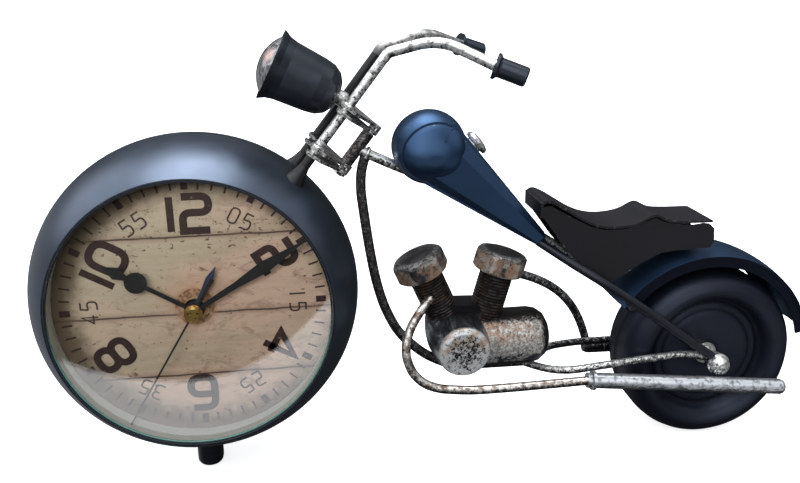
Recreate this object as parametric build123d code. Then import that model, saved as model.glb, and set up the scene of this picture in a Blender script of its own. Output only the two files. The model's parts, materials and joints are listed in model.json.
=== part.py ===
"""Table alarm clock in the shape of a chopper motorcycle.

The clock case takes the place of the front wheel. Millimetres throughout. While it is being
built, X runs to the tail from the clock's centre line, Y = 0 is the mid-plane and Z = 0 the
table; -Y is the side the dial faces. The last step centres the whole thing on the origin.
"""
from build123d import *
import math
import os

# Clock case
CASE_Z = 82.0               # height of the clock's centre
CASE_R = 66.0               # largest radius, on the mid-plane
CASE_BULGE = 46.7           # radius of the rounded rim in section
CASE_FRONT = -30.3          # front lip
CASE_BACK = 26.0            # rear edge
SHEET = 1.0                 # pressed sheet of the case
LIP_R = 53.9                # opening in front of the glass
GLASS_Y = (-29.3, -27.3)
DIAL_Y = -17.2              # printed face
DIAL_THICK = 1.0
DIAL_R = 60.4
FOOT_AT = (-1.6, 1.5)
FOOT_WIDE = 11.0
FOOT_DEEP = 13.0
FOOT_Z = 0.9

# Quartz alarm movement, 56 mm square
MOVE = 56.0
MOVE_WALL = 1.4
MOVE_FRONT = DIAL_Y + DIAL_THICK
MOVE_SPLIT = -6.2
MOVE_BACK = 2.4
THREAD_R = 4.0
NUT_Y = -19.2
FIT = 0.05                  # radial clearance of every running fit
WHEEL_STACK_R = 7.2         # wheels on the nested tubes
PIN_R = 0.5                 # second hand's pin
MINUTE_R = 1.2              # outside radii of the nested tubes
HOUR_R = 2.0
ALARM_R = 2.7
BAY_HALF = 25.9             # battery bay
BAY_Z = (56.2, 71.2)
BAY_FLOOR = -13.1
BATTERY_R = 7.15
DRIVE = (5.9, CASE_Z + 5.9)
ROTOR = (10.4, CASE_Z + 10.4)
KNOB_AT = -11.5             # alarm knob, sideways from the centre
SWITCH_AT = (14.0, 104.0)

# Hands: angle clockwise from twelve, and length
HOUR_ANGLE, HOUR_LONG = 301.5, 38.0
MINUTE_ANGLE, MINUTE_LONG = 59.0, 52.0
SECOND_ANGLE, SECOND_LONG = 211.5, 54.0
ALARM_ANGLE, ALARM_LONG = 29.0, 19.5

# Steering head
RAKE = 38.3                 # degrees from vertical
AXIS = (math.sin(math.radians(RAKE)), math.cos(math.radians(RAKE)))
NECK = (67.6, 139.6)        # a point on the steering axis
NECK_R = 2.6
STEM_R = 1.6
FORK_AHEAD = 14.5           # fork legs ahead of the steering axis
FORK_HALF = 12.0
FORK_R = 2.0
UPPER_YOKE = 10.2           # along the steering axis from NECK
LOWER_YOKE = -9.8
YOKE_HIGH = 4.2
YOKE_PLATE = 1.3
YOKE_END = 3.2
BAR_R = 2.15
GRIP_R = 3.7
BAR_LIFT = 2.8

# Headlight
LAMP_RIM = (34.9, 173.8)
LAMP_TILT = 27.0

# Frame and rear end
BEND_SHARE = 0.45           # share of the shorter straight run taken up by a bend
TUBE_R = 2.1
STAY_R = 1.9
CHAIN_R = 1.7
STAY_EYE = (17.9, 19.4)     # depths of the eyes on the axle
CHAIN_EYE = (16.4, 17.8)
BACKBONE = [(68.1, 0, 138.7), (84.9, 0, 130.6), (96.0, 0, 126.2), (110.0, 0, 119.0),
            (147.0, 0, 97.0), (160.0, 0, 88.0), (172.5, 0, 79.6)]
DOWN_TUBE = [(71.0, 0, 137.2), (68.8, 0, 130.0), (68.4, 0, 122.0), (69.6, 0, 111.1),
             (71.4, 0, 96.6), (73.8, 0, 82.1), (77.2, 0, 69.4), (83.4, 0, 56.4),
             (94.2, 0, 46.2), (103.0, 0, 41.2), (111.0, 0, 39.2), (141.0, 0, 38.8)]
WHEEL = (222.7, 40.5)
WHEEL_R = 39.6
AXLE_R = 2.0
HUB_R = 5.0
HUB_HALF = 8.2
FENDER = (219.4, 41.0)
FENDER_R = 49.3             # crown
FENDER_SIDE = 47.9          # edge of the curved part, then a lip turned in
FENDER_LIP = 46.8
FENDER_SKIRT = 43.0         # inner edge of the skirt that hangs behind the lip
FENDER_SPAN = (12.0, 146.0)
FENDER_HALF = 15.0

# Tank
TANK_FRONT = (96.9, 139.0)
TANK_TAIL = (144.4, 98.3)
TANK_FRONT_SIDE = [(9.8, -13.4), (14.9, -8.0), (14.6, 6.6), (8.2, 14.2)]
TANK_TAIL_SIDE = [(4.4, -3.6), (6.3, -2.2), (6.2, 1.2), (4.0, 3.0)]
TANK_TIP_SIDE = [(2.6, -1.9), (3.9, -1.2), (3.8, 0.7), (2.4, 1.7)]
TANK_TIP = 2.2              # the tail ends in a blunt tip this long
TANK_R = 15.2               # domed front, on the mid-plane
TANK_HALF = 16.6
TANK_POWER = 2.6            # squareness of the dome in section
LID_DROP = 1.0              # at the seams the outline is lower and flatter than the crown
LID_FLAT = 0.12
TANK_SHEET = 0.9
SEAM_FRONT = 10.0
SEAM_TAIL = 4.0
SEAM_GAP = 1.1

# Seat
SEAT_HALF = 11.3
SEAT_SHEET = 1.0
SEAT_LINE = [(142.3, 114.7), (144.3, 115.7), (147.7, 114.7), (156.2, 109.5), (164.7, 104.9),
             (171.7, 103.2), (179.7, 103.3), (186.7, 105.2), (192.0, 107.3), (196.7, 105.2),
             (202.7, 104.0), (209.7, 103.7), (217.7, 103.5)]

# Engine
CRANK = (108.9, 54.2)
CRANK_R = 13.2
GEAR_Z = 52.1
GEAR_R = 12.6
HEX_FLATS = 20.8
HEX_HIGH = 9.4
HEX_CORNER = 2.4
SHANK_R = 7.3
RIDGE = 1.35
FRONT_CYLINDER = ((91.0, 92.4), 23.5, 22.0, 34.0)   # top, lean, turn of the hexagon, length
REAR_CYLINDER = ((129.4, 92.2), -15.8, 30.0, 32.0)

# Exhausts
PIPE_R = 1.95
MUFFLER_R = 3.4
LEFT_PIPE = [(97.4, -4.6, 75.2), (91.2, -9.0, 69.6), (87.0, -12.0, 64.4), (84.5, -15.0, 59.0),
             (84.1, -17.0, 53.2), (86.4, -18.2, 46.4), (91.0, -19.2, 41.4), (97.8, -20.0, 38.7),
             (110.8, -21.0, 37.4), (127.9, -21.8, 37.7), (163.0, -22.0, 38.4)]
RIGHT_PIPE = [(131.4, 2.0, 81.4), (138.0, 3.0, 79.9), (145.0, 5.0, 76.8), (153.0, 8.0, 72.0),
              (160.2, 11.0, 66.0), (166.4, 14.0, 58.6), (171.5, 17.4, 50.2), (175.6, 20.6, 41.0),
              (178.0, 22.2, 33.6)]
LEFT_MUFFLER = ((163.0, -22.2, 38.6), (251.0, -26.0, 30.2))
RIGHT_MUFFLER = ((176.0, 22.2, 33.4), (251.0, 26.0, 29.8))


def turned(points, place=Plane.XY):
    """Solid of revolution from (radius, height) points about the local Z axis."""
    return place * revolve(Plane.XZ * make_face(Polyline(*points, close=True)), Axis.Z)


def across(x, z):
    """Local frame whose Z axis runs along +Y through (x, z)."""
    return Plane(origin=(x, 0, z), x_dir=(1, 0, 0), z_dir=(0, 1, 0))


def disc(radius, y0, y1, x=0.0, z=CASE_Z, bore=0.0):
    """Cylinder or tube along Y."""
    points = [(bore, y0), (radius, y0), (radius, y1), (bore, y1)]
    return turned(points, across(x, z))


def slab(points, y0, y1):
    """Flat plate in the XZ plane between two depths."""
    face = make_face(Polyline(*points, close=True))
    return extrude(Plane(origin=(0, y1, 0), x_dir=(1, 0, 0), z_dir=(0, -1, 0)) * face, y1 - y0)


def block(x0, x1, y0, y1, z0, z1):
    return Pos((x0 + x1) / 2, (y0 + y1) / 2, (z0 + z1) / 2) * Box(x1 - x0, y1 - y0, z1 - z0)


def rod(points, radius):
    """Round bar along straight runs joined by tangent arcs."""
    corners = [Vector(*point) for point in points]
    runs = [after - before for before, after in zip(corners, corners[1:])]
    if len(runs) == 1:
        path = Line(*corners)
    else:
        bends = []
        for before, after in zip(runs, runs[1:]):
            half_turn = math.radians(before.get_angle(after)) / 2
            bends.append(BEND_SHARE * min(before.length, after.length) / math.tan(half_turn))
        path = FilletPolyline(*corners, radius=bends)
    return sweep(Plane(origin=path @ 0, z_dir=path % 0) * Circle(radius), path=path)


def both(side_shape):
    """A shape on the -Y side together with its mirror image."""
    return side_shape + mirror(side_shape, Plane.XZ)


def minus(shape, *others):
    for other in others:
        shape = shape - other
    return shape


def rim_radius(y, inset=0.0):
    """Radius of the case at depth y."""
    return CASE_R - CASE_BULGE + math.sqrt((CASE_BULGE - inset) ** 2 - y * y)


def rim_arc(y0, y1, inset=0.0):
    middle = (y0 + y1) / 2
    return ThreePointArc((rim_radius(y0, inset), y0), (rim_radius(middle, inset), middle),
                         (rim_radius(y1, inset), y1))


# Clock case ------------------------------------------------------------------------------

def make_case():
    front = CASE_FRONT + SHEET
    wall = make_face([
        rim_arc(CASE_FRONT, CASE_BACK),
        Line((rim_radius(CASE_BACK), CASE_BACK), (rim_radius(CASE_BACK, SHEET), CASE_BACK)),
        rim_arc(CASE_BACK, front, SHEET),
        Line((rim_radius(front, SHEET), front), (LIP_R, front)),
        Line((LIP_R, front), (LIP_R, CASE_FRONT)),
        Line((LIP_R, CASE_FRONT), (rim_radius(CASE_FRONT), CASE_FRONT)),
    ])
    return across(0, CASE_Z) * revolve(Plane.XZ * wall, Axis.Z)


def make_case_filled():
    """The case as a solid, used to trim what is welded to it."""
    outline = make_face([
        rim_arc(CASE_FRONT, CASE_BACK),
        Line((rim_radius(CASE_BACK), CASE_BACK), (0, CASE_BACK)),
        Line((0, CASE_BACK), (0, CASE_FRONT)),
        Line((0, CASE_FRONT), (rim_radius(CASE_FRONT), CASE_FRONT)),
    ])
    return across(0, CASE_Z) * revolve(Plane.XZ * outline, Axis.Z)


def make_back_pan():
    """Dished rear cover with a window for the movement."""
    edge = rim_radius(CASE_BACK, SHEET)
    inner = rim_radius(24.0, SHEET)
    pan = turned([(0, -0.8), (45.0, -0.8), (52.0, 23.2), (inner, 23.2), (inner, 24.0),
                  (51.4, 24.0), (44.4, 0.0), (0, 0.0)], across(0, CASE_Z))
    half = MOVE / 2 + 0.3
    window = block(-half, half, -3, 3, CASE_Z - half, CASE_Z + half)
    return minus(pan, window)


def make_foot(filled):
    x, y = FOOT_AT
    peg = extrude(Pos(x, y, FOOT_Z) * Rot(0, 0, 90) * SlotOverall(FOOT_DEEP, FOOT_WIDE), 20)
    peg = fillet(peg.edges().group_by(Axis.Z)[0], 2.5)
    return minus(peg, filled)


# Movement --------------------------------------------------------------------------------

def square_tube(outer, inner, y0, y1):
    ring = block(-outer, outer, y0, y1, CASE_Z - outer, CASE_Z + outer)
    return ring - block(-inner, inner, y0, y1, CASE_Z - inner, CASE_Z + inner)


def pivot_holes():
    """Blind holes that carry the small pivots, in the front tray and the rear cover."""
    spots = [DRIVE, ROTOR, (KNOB_AT, CASE_Z)]
    front = [disc(PIN_R + FIT, -15.7, -14.0, x, z) for x, z in spots]
    rear = [disc(PIN_R + FIT, 0.4, 1.9, x, z) for x, z in spots[:2]]
    return front + rear


def make_movement_case():
    half = MOVE / 2
    floor_y = MOVE_FRONT + 1.6
    tray = square_tube(half, half - MOVE_WALL, MOVE_FRONT, MOVE_SPLIT)
    tray += block(-half, half, MOVE_FRONT, floor_y, CASE_Z - half, CASE_Z + half)
    tray += disc(THREAD_R, NUT_Y - 0.6, MOVE_FRONT)
    tray -= disc(ALARM_R + FIT, NUT_Y - 1, floor_y + 0.1)
    return minus(tray, *pivot_holes())


def make_movement_cover():
    half = MOVE / 2
    low, high = BAY_Z
    cover = square_tube(half, half - MOVE_WALL, MOVE_SPLIT, 0.8)
    cover += block(-half, half, 0.8, MOVE_BACK, CASE_Z - half, CASE_Z + half)
    cover += block(-BAY_HALF - 0.5, BAY_HALF + 0.5, BAY_FLOOR - 0.6, MOVE_BACK, low - 0.6, high + 0.6)
    cover -= block(-BAY_HALF, BAY_HALF, BAY_FLOOR, MOVE_BACK + 1, low, high)
    cover -= disc(1.5 + FIT, 0, MOVE_BACK + 1)
    cover -= disc(1.5 + FIT, 0, MOVE_BACK + 1, KNOB_AT)
    x, z = SWITCH_AT
    cover -= block(x - 4.3, x + 4.3, 0, MOVE_BACK + 1, z - 1.6, z + 1.6)
    return minus(cover, *pivot_holes())


def make_contacts():
    low, high = BAY_Z
    plate = block(-BAY_HALF, -BAY_HALF + 0.25, -11.5, 0.5, low + 2, high - 2)
    return plate + mirror(plate, Plane.YZ)


def make_motor():
    """Coil on its bobbin with the stator plate that surrounds the rotor."""
    bobbin = Plane(origin=(2, -8.4, 103.6), x_dir=(0, 1, 0), z_dir=(1, 0, 0)) * Pos(0, 0, 10) \
        * (Cylinder(3.2, 20) + Pos(0, 0, 9.5) * Cylinder(4.0, 1) + Pos(0, 0, -9.5) * Cylinder(4.0, 1))
    plate = slab([(6.6, 89.6), (16.5, 89.6), (16.5, 102), (6.6, 102)], -6.6, -5.4)
    return bobbin + minus(plate, disc(3.4, -7, -5, *ROTOR))


def make_board():
    return block(-25, 1.5, -13.4, -12.4, 97, 108.6)


def make_buzzer():
    return disc(5.6, -12.4, -7.4, -14.0, 102.8)


def wheel_and_tube(wheel_r, wheel_y, tube_r, bore, tube_front):
    """A thin wheel behind the dial on the tube that carries a hand in front of it."""
    wheel = disc(wheel_r, wheel_y, wheel_y + 0.8, bore=bore)
    return wheel + disc(tube_r, tube_front, wheel_y + 0.8, bore=bore)


def hand_plate(points, y, angle, bore):
    """Hand outline pointing at twelve, mirrored about its centre line, then turned."""
    outline = points + [(-x, z) for x, z in reversed(points)]
    plate = slab([(x, z + CASE_Z) for x, z in outline], y, y + 0.4)
    plate += disc(3.2, y, y + 0.4)
    plate -= disc(bore, y - 1, y + 1)
    return turn_about_clock(plate, angle)


def turn_about_clock(shape, angle):
    return Pos(0, 0, CASE_Z) * Rot(0, angle, 0) * Pos(0, 0, -CASE_Z) * shape


def make_hour_hand():
    spot = 24.5
    points = [(0.9, -1), (0.8, spot), (1.1, spot + 4.6), (2.6, spot + 8.2), (0.2, HOUR_LONG)]
    hand = hand_plate(points, -22.0, HOUR_ANGLE, MINUTE_R + FIT)
    hand += turn_about_clock(disc(4.3, -22.0, -21.6, z=CASE_Z + spot), HOUR_ANGLE)
    return hand + wheel_and_tube(WHEEL_STACK_R, -12.6, HOUR_R, MINUTE_R + FIT, -21.8)


def make_minute_hand():
    points = [(1.3, -1), (0.9, 4), (1.3, 20), (2.5, 33), (1.2, 44), (0.2, MINUTE_LONG)]
    hand = hand_plate(points, -23.6, MINUTE_ANGLE, PIN_R + FIT)
    return hand + wheel_and_tube(WHEEL_STACK_R, -11.2, MINUTE_R, PIN_R + FIT, -23.4)


def make_alarm_hand():
    points = [(0.9, -1), (1.0, 8), (1.5, 14), (0.2, ALARM_LONG)]
    hand = hand_plate(points, -20.7, ALARM_ANGLE, HOUR_R + FIT)
    return hand + wheel_and_tube(WHEEL_STACK_R, -14.0, ALARM_R, HOUR_R + FIT, -20.5)


def make_second_hand():
    points = [(0.9, -16), (0.4, -4), (0.35, SECOND_LONG)]
    hand = hand_plate(points, -25.0, SECOND_ANGLE, 0.1)
    cap = turned([(0, -26.6), (2.4, -26.6), (3.4, -25.9), (3.5, -24.6), (0, -24.6)], across(0, CASE_Z))
    return hand + cap + disc(PIN_R, -24.8, -9.2) + disc(7.0, -9.8, -9.2)


def make_drive_wheel():
    x, z = DRIVE
    return disc(PIN_R, -15.5, 1.7, x, z) + disc(1.0, -9.8, -8.2, x, z) + disc(4.7, -8.8, -8.2, x, z)


def make_rotor():
    x, z = ROTOR
    return disc(PIN_R, -15.5, 1.7, x, z) + disc(1.2, -8.8, -8.2, x, z) + disc(3.0, -7.4, -4.4, x, z)


def knurled_knob(x, radius, y0, y1):
    knob = disc(radius, y0, y1, x)
    for step in range(12):
        angle = math.radians(30 * step)
        knob -= disc(0.8, y0 - 1, y1 + 1, x + (radius + 0.3) * math.cos(angle),
                     CASE_Z + (radius + 0.3) * math.sin(angle))
    return knob


def make_set_knob():
    return knurled_knob(0, 4.8, 3.0, 7.2) + disc(1.5, -8.6, 3.2)


def make_alarm_knob():
    shaft = disc(1.5, -14.0, 3.2, KNOB_AT) + disc(PIN_R, -15.5, -13.9, KNOB_AT)
    return knurled_knob(KNOB_AT, 4.2, 3.0, 6.4) + shaft + disc(4.0, -14.0, -13.2, KNOB_AT)


def make_alarm_switch():
    x, z = SWITCH_AT
    stem = block(x - 4.0, x, -0.2, 3.0, z - 1.3, z + 1.3)
    flange = block(x - 5.5, x + 1.5, -0.6, 0.4, z - 2.6, z + 2.6)
    head = block(x - 5.0, x + 1.0, 2.8, 4.6, z - 2.4, z + 2.4)
    return stem + flange + head


def make_battery():
    axis = Plane(origin=(-25.0, -5.4, (BAY_Z[0] + BAY_Z[1]) / 2), x_dir=(0, 1, 0), z_dir=(1, 0, 0))
    return turned([(0, 0), (6.7, 0), (BATTERY_R, 0.5), (BATTERY_R, 48.6), (6.7, 49.1), (2.75, 49.1),
                   (2.75, 50.2), (0, 50.2)], axis)


# Steering --------------------------------------------------------------------------------

def steer(along, ahead, y=0.0):
    """Point given along and ahead of the steering axis."""
    return (NECK[0] + along * AXIS[0] - ahead * AXIS[1], y, NECK[1] + along * AXIS[1] + ahead * AXIS[0])


def steer_frame(along=0.0, ahead=0.0):
    """Local Z up the steering axis, local X forwards, local Y towards -Y."""
    return Plane(origin=steer(along, ahead), x_dir=(-AXIS[1], 0, AXIS[0]), z_dir=(AXIS[0], 0, AXIS[1]))


def make_neck():
    bottom = LOWER_YOKE + YOKE_HIGH / 2 + 0.4
    top = UPPER_YOKE - YOKE_HIGH / 2 - 0.4
    bore = STEM_R + FIT
    return turned([(bore, bottom), (NECK_R, bottom), (NECK_R, top), (bore, top)], steer_frame())


def make_stem():
    low = LOWER_YOKE - YOKE_HIGH / 2
    high = UPPER_YOKE + YOKE_HIGH / 2
    stem = turned([(0, low - 1.6), (STEM_R, low - 1.6), (STEM_R, high), (0, high)], steer_frame())
    nut = steer_frame(low - 1.2) * extrude(RegularPolygon(2.8, 6), 1.2)
    return stem + nut


def make_yoke(along):
    """Folded strap: two plates joined by a wall at the rear, wide at the fork."""
    arm = FORK_HALF + 3.0
    plan = make_face(Polyline((FORK_AHEAD + 2.8, arm), (FORK_AHEAD - 3.5, arm), (0.5, YOKE_END),
                              (0.5, -YOKE_END), (FORK_AHEAD - 3.5, -arm), (FORK_AHEAD + 2.8, -arm),
                              close=True)) + Circle(YOKE_END)
    body = extrude(plan, YOKE_HIGH)
    slot = Pos(10 - YOKE_END + 1.0, 0, YOKE_HIGH / 2) * Box(20, 60, YOKE_HIGH - 2 * YOKE_PLATE)
    notch = Pos(FORK_AHEAD + 1.0, 0, YOKE_HIGH / 2) * Box(8.0, 2 * FORK_HALF - 5.0, 10)
    hole = Cylinder(STEM_R, 20)
    return steer_frame(along - YOKE_HIGH / 2) * minus(body, slot, notch, hole)


def fork_line(y):
    return [steer(-26, FORK_AHEAD, y), steer(36, FORK_AHEAD, y)]


def make_fork_leg(y, filled):
    leg = rod(fork_line(y), FORK_R)
    foot = Plane(origin=steer(-26, FORK_AHEAD, y), z_dir=(AXIS[0], 0, AXIS[1]))
    leg += turned([(0, 0), (4.9, 0), (4.4, 2.4), (3.0, 5.6), (FORK_R, 9.4), (0, 9.4)], foot)
    return minus(leg, filled)


def bar_lift(side):
    """The right-hand bar is bent a little higher than the left."""
    return BAR_LIFT if side > 0 else 0.0


def make_handlebar(side):
    top = steer(36, FORK_AHEAD)
    lift = bar_lift(side)
    return rod([(top[0] - 1.0, side * FORK_HALF, top[2] - 1.4), (79.2, side * 12.0, 177.9),
                (98.0, side * 16.4, 182.9 + 0.3 * lift), (116.2, side * 33.4, 174.0 + lift)], BAR_R)


def make_grip(side):
    lift = bar_lift(side)
    start = Vector(115.6, side * 33.0, 174.2 + lift)
    end = Vector(127.0, side * 36.0, 169.8 + 1.2 * lift)
    place = Plane(origin=start, z_dir=end - start)
    length = (end - start).length
    return turned([(0, 0), (4.9, 0), (4.9, 1.1), (3.9, 1.8), (GRIP_R, 2.4), (GRIP_R, length - 0.6),
                   (GRIP_R - 0.6, length), (0, length)], place)


# Headlight -------------------------------------------------------------------------------

def lamp_frame():
    """Local Z runs from the rim to the back of the lamp."""
    tilt = math.radians(LAMP_TILT)
    return Plane(origin=(LAMP_RIM[0], 0, LAMP_RIM[1]), x_dir=(0, 1, 0),
                 z_dir=(math.cos(tilt), 0, -math.sin(tilt)))


def make_lamp_shell():
    return turned([(13.2, 0), (14.3, 0), (14.1, 0.7), (12.8, 3.0), (12.1, 6.0), (11.2, 19.0),
                   (10.5, 23.0), (8.6, 26.2), (5.6, 28.2), (2.6, 28.9), (0, 29.0), (0, 28.1), (2.4, 28.0),
                   (5.1, 27.4), (7.9, 25.6), (9.7, 22.6), (10.3, 19.0), (11.2, 6.0), (11.9, 3.0),
                   (12.8, 1.2)],
                  lamp_frame())


def make_lens():
    """Domed glass held by the rim of the lamp."""
    rim = 12.6
    high = 6.0
    ball = (rim ** 2 + high ** 2) / (2 * high)
    dome = Pos(0, 0, -high + ball + 0.9) * Sphere(ball)
    dome = dome & Pos(0, 0, -4.1 + 0.9) * Cylinder(rim, 10)
    inner = Pos(0, 0, -high + ball + 0.9) * Sphere(ball - 1.4)
    return lamp_frame() * minus(dome, inner)


def make_reflector():
    return turned([(10.9, 2.2), (8.2, 8.0), (4.0, 12.4), (0, 14.0), (0, 14.6), (4.4, 13.0),
                   (8.8, 8.3), (11.3, 2.4)], lamp_frame())


def make_lamp_bracket(legs):
    bar = rod([(63.2, -FORK_HALF, 158.9), (63.2, FORK_HALF, 158.9)], 2.2)
    stub = rod([(56.0, 0, 163.2), (63.2, 0, 158.9)], 3.0)
    full = turned([(0, 2), (12.4, 3.0), (12.1, 6.0), (11.2, 19.0), (10.5, 23.0), (8.6, 26.2),
                   (5.6, 28.2), (2.6, 28.9), (0, 29.0)], lamp_frame())
    return minus(bar + stub, full, legs)


# Frame -----------------------------------------------------------------------------------

def eye(y_near, y_far, side):
    y0, y1 = sorted((side * y_near, side * y_far))
    return disc(4.3, y0, y1, *WHEEL, bore=AXLE_R)


def make_seat_stay(side):
    line = [(143.5, side * 3.2, 96.6), (149.6, side * 7.2, 92.8), (157.5, side * 12.0, 87.8),
            (166.9, side * 17.0, 82.2), (184.7, side * 18.9, 70.2), (220.6, side * 18.7, 43.4)]
    return minus(rod(line, STAY_R), disc(AXLE_R + 0.6, -25, 25, *WHEEL)) + eye(*STAY_EYE, side)


def make_chain_stay_left():
    line = [(140.0, -1.5, 39.0), (145.6, -7.0, 38.8), (150.9, -12.0, 39.4), (157.2, -16.0, 40.8),
            (169.0, -17.8, 42.8), (187.1, -17.8, 44.3), (208.0, -17.4, 45.4), (220.2, -17.1, 42.6)]
    return rod(line, CHAIN_R) + eye(*CHAIN_EYE, -1)


def make_chain_stay_right():
    line = [(140.0, 1.5, 39.0), (147.0, 5.0, 40.4), (155.0, 9.0, 41.2), (169.0, 14.6, 39.6),
            (187.9, 17.8, 38.0), (206.0, 17.4, 38.2), (219.0, 17.1, 39.6)]
    return rod(line, CHAIN_R) + eye(*CHAIN_EYE, 1)


def make_axle():
    return disc(AXLE_R, -21.8, 21.8, *WHEEL)


def make_axle_nuts():
    """Domed cap nuts outside the stays and spacer tubes inside them."""
    nut = turned([(0, 21.8), (AXLE_R, 21.8), (AXLE_R, 19.4), (4.9, 19.4), (4.9, 20.2), (4.3, 20.4),
                  (4.4, 21.8), (3.7, 23.2), (2.2, 24.2), (0, 24.6)], across(*WHEEL))
    return nut + mirror(nut, Plane.XZ)


def make_spacers():
    sleeve = turned([(AXLE_R, 8.6), (3.6, 8.6), (3.6, 9.8), (2.9, 9.8), (2.9, 14.6), (3.8, 14.6),
                     (3.8, 16.4), (AXLE_R, 16.4)], across(*WHEEL))
    return sleeve + mirror(sleeve, Plane.XZ)


def wheel_half():
    """Pressed half shell on the +Y side, as (radius, depth) points."""
    outer = [(WHEEL_R, 0.05), (WHEEL_R, 4.5), (39.2, 7.6), (38.2, 10.4), (36.4, 12.9), (32.6, 14.8),
             (29.8, 14.0), (27.4, 11.4), (26.0, 8.4), (25.2, 7.0), (24.2, 6.8), (23.4, 7.7),
             (21.6, 7.7), (20.8, 7.1), (19.8, 7.9), (12.0, 8.3), (7.0, 8.0), (HUB_R, 8.0)]
    inner = [(HUB_R, 7.0), (7.0, 7.0), (12.0, 7.3), (19.6, 6.9), (20.6, 6.1), (21.8, 6.6),
             (23.0, 6.6), (24.0, 5.8), (25.8, 6.1), (27.0, 8.0), (28.3, 10.8), (30.3, 13.0),
             (32.6, 13.8), (35.8, 12.1), (37.3, 9.8), (38.2, 7.2), (38.6, 4.2), (38.6, 0.05)]
    return outer + inner


def make_fender():
    """Arched sheet with a stepped lip and a skirt down each side."""
    sheet = 0.9
    half = FENDER_HALF
    outer = half - 0.5
    inner = outer - sheet
    top = FENDER_SIDE - 0.5
    section = make_face([
        ThreePointArc((FENDER_SIDE, -half), (FENDER_R, 0), (FENDER_SIDE, half)),
        Polyline((FENDER_SIDE, half), (FENDER_LIP, half), (FENDER_LIP, outer), (FENDER_SKIRT, outer),
                 (FENDER_SKIRT, inner), (top, inner)),
        ThreePointArc((top, inner), (FENDER_R - sheet, 0), (top, -inner)),
        Polyline((top, -inner), (FENDER_SKIRT, -inner), (FENDER_SKIRT, -outer), (FENDER_LIP, -outer),
                 (FENDER_LIP, -half), (FENDER_SIDE, -half)),
    ])
    start, end = FENDER_SPAN
    placed = Rot(0, -end, 0) * section
    return Pos(FENDER[0], 0, FENDER[1]) * revolve(placed, Axis.Y, end - start)


def make_fender_bracket(stays):
    """Pins that join the stays to the fender's lips near its front end."""
    angle = math.radians(143.0)
    radius = (FENDER_SIDE + FENDER_LIP) / 2
    x = FENDER[0] + radius * math.cos(angle)
    z = FENDER[1] + radius * math.sin(angle)
    pin = minus(rod([(x, -18.6, z), (x, -FENDER_HALF, z)], 1.5), *stays)
    return both(pin)


# Tank ------------------------------------------------------------------------------------

def tank_ring(y, inset):
    """Outline of the domed front at depth y: an ellipse that flattens and sinks outwards."""
    half = TANK_HALF - inset
    fullness = (1 - (abs(y) / half) ** TANK_POWER) ** (1 / TANK_POWER)
    side = (y / SEAM_FRONT) ** 2
    wide = (TANK_R - inset) * fullness
    origin = (TANK_FRONT[0], y, TANK_FRONT[1] - LID_DROP * side)
    place = Plane(origin=origin, x_dir=(1, 0, 0), z_dir=(0, 1, 0))
    return place * Ellipse(wide, wide * (1 - LID_FLAT * side))


def tank_solid(inset):
    """Drum-like domed front running into a flat-sided tail with a bevel along the top of each side."""
    x, z = TANK_FRONT
    half = TANK_HALF - inset
    shares = [-0.995, -0.93, -0.78, -0.58, -0.3, 0, 0.3, 0.58, 0.78, 0.93, 0.995]
    dome = loft([tank_ring(share * half, inset) for share in shares])

    run = Vector(TANK_TAIL[0] - x, 0, TANK_TAIL[1] - z)
    length = run.length

    def shrink(value):
        return math.copysign(max(abs(value) - inset, 0.4 * abs(value)), value)

    def section(distance, side):
        outline = side + [(-y, h) for y, h in reversed(side)]
        shrunk = [(shrink(y), shrink(h)) for y, h in outline]
        origin = Vector(x, 0, z) + run * (distance / length)
        return Plane(origin=origin, x_dir=(0, 1, 0), z_dir=run) * make_face(Polyline(*shrunk, close=True))

    front = section(0, TANK_FRONT_SIDE)
    tail = section(length - inset, TANK_TAIL_SIDE)
    tip = section(length + TANK_TIP - inset, TANK_TIP_SIDE)
    return dome + loft([front, tail], ruled=True) + loft([tail, tip], ruled=True)


def seam_zone(shift):
    """Everything beyond the left seam, moved outwards by shift."""
    lean = math.degrees(math.atan2(SEAM_FRONT - SEAM_TAIL, TANK_TAIL[0] - TANK_FRONT[0]))
    return Pos(TANK_FRONT[0], -SEAM_FRONT - shift, 120) * Rot(0, 0, lean) * Pos(0, -30, 0) * Box(160, 60, 120)


def make_tank(backbone):
    skin = tank_solid(0) - tank_solid(TANK_SHEET)
    liner = tank_solid(TANK_SHEET) - tank_solid(2 * TANK_SHEET)
    half_gap = SEAM_GAP / 2
    lid_zone = both(seam_zone(half_gap))
    lids = skin & lid_zone
    band = minus(skin, both(seam_zone(-half_gap)), backbone)
    joggle = minus(liner, both(seam_zone(2.0)), backbone) & both(seam_zone(-1.4))
    return minus(lids, backbone), minus(band + joggle, backbone)


def make_tank_cap(solid):
    place = Plane(origin=(116.0, 1.5, 138.6), z_dir=(0.78, 0, 0.62))
    cap = turned([(0, -4), (3.6, -4), (3.6, 0.2), (5.2, 0.5), (5.6, 1.6), (5.0, 2.7), (3.0, 3.4),
                  (0, 3.7)], place)
    return minus(cap, solid)


# Seat ------------------------------------------------------------------------------------

def make_seat_top():
    lower = Spline(*[(x, z) for x, z in SEAT_LINE])
    upper = Spline(*[(x, z + SEAT_SHEET) for x, z in SEAT_LINE])
    x0, z0 = SEAT_LINE[0]
    x1, z1 = SEAT_LINE[-1]
    strip = make_face([lower, Line((x1, z1), (x1, z1 + SEAT_SHEET)), upper,
                       Line((x0, z0 + SEAT_SHEET), (x0, z0))])
    half = SEAT_HALF + 0.7
    place = Plane(origin=(0, half, 0), x_dir=(1, 0, 0), z_dir=(0, -1, 0))
    top = extrude(place * strip, 2 * half)
    return top + block(x0 - 0.6, x0 + 0.4, -half, half, z0 - 5.0, z0 + SEAT_SHEET)


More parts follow.
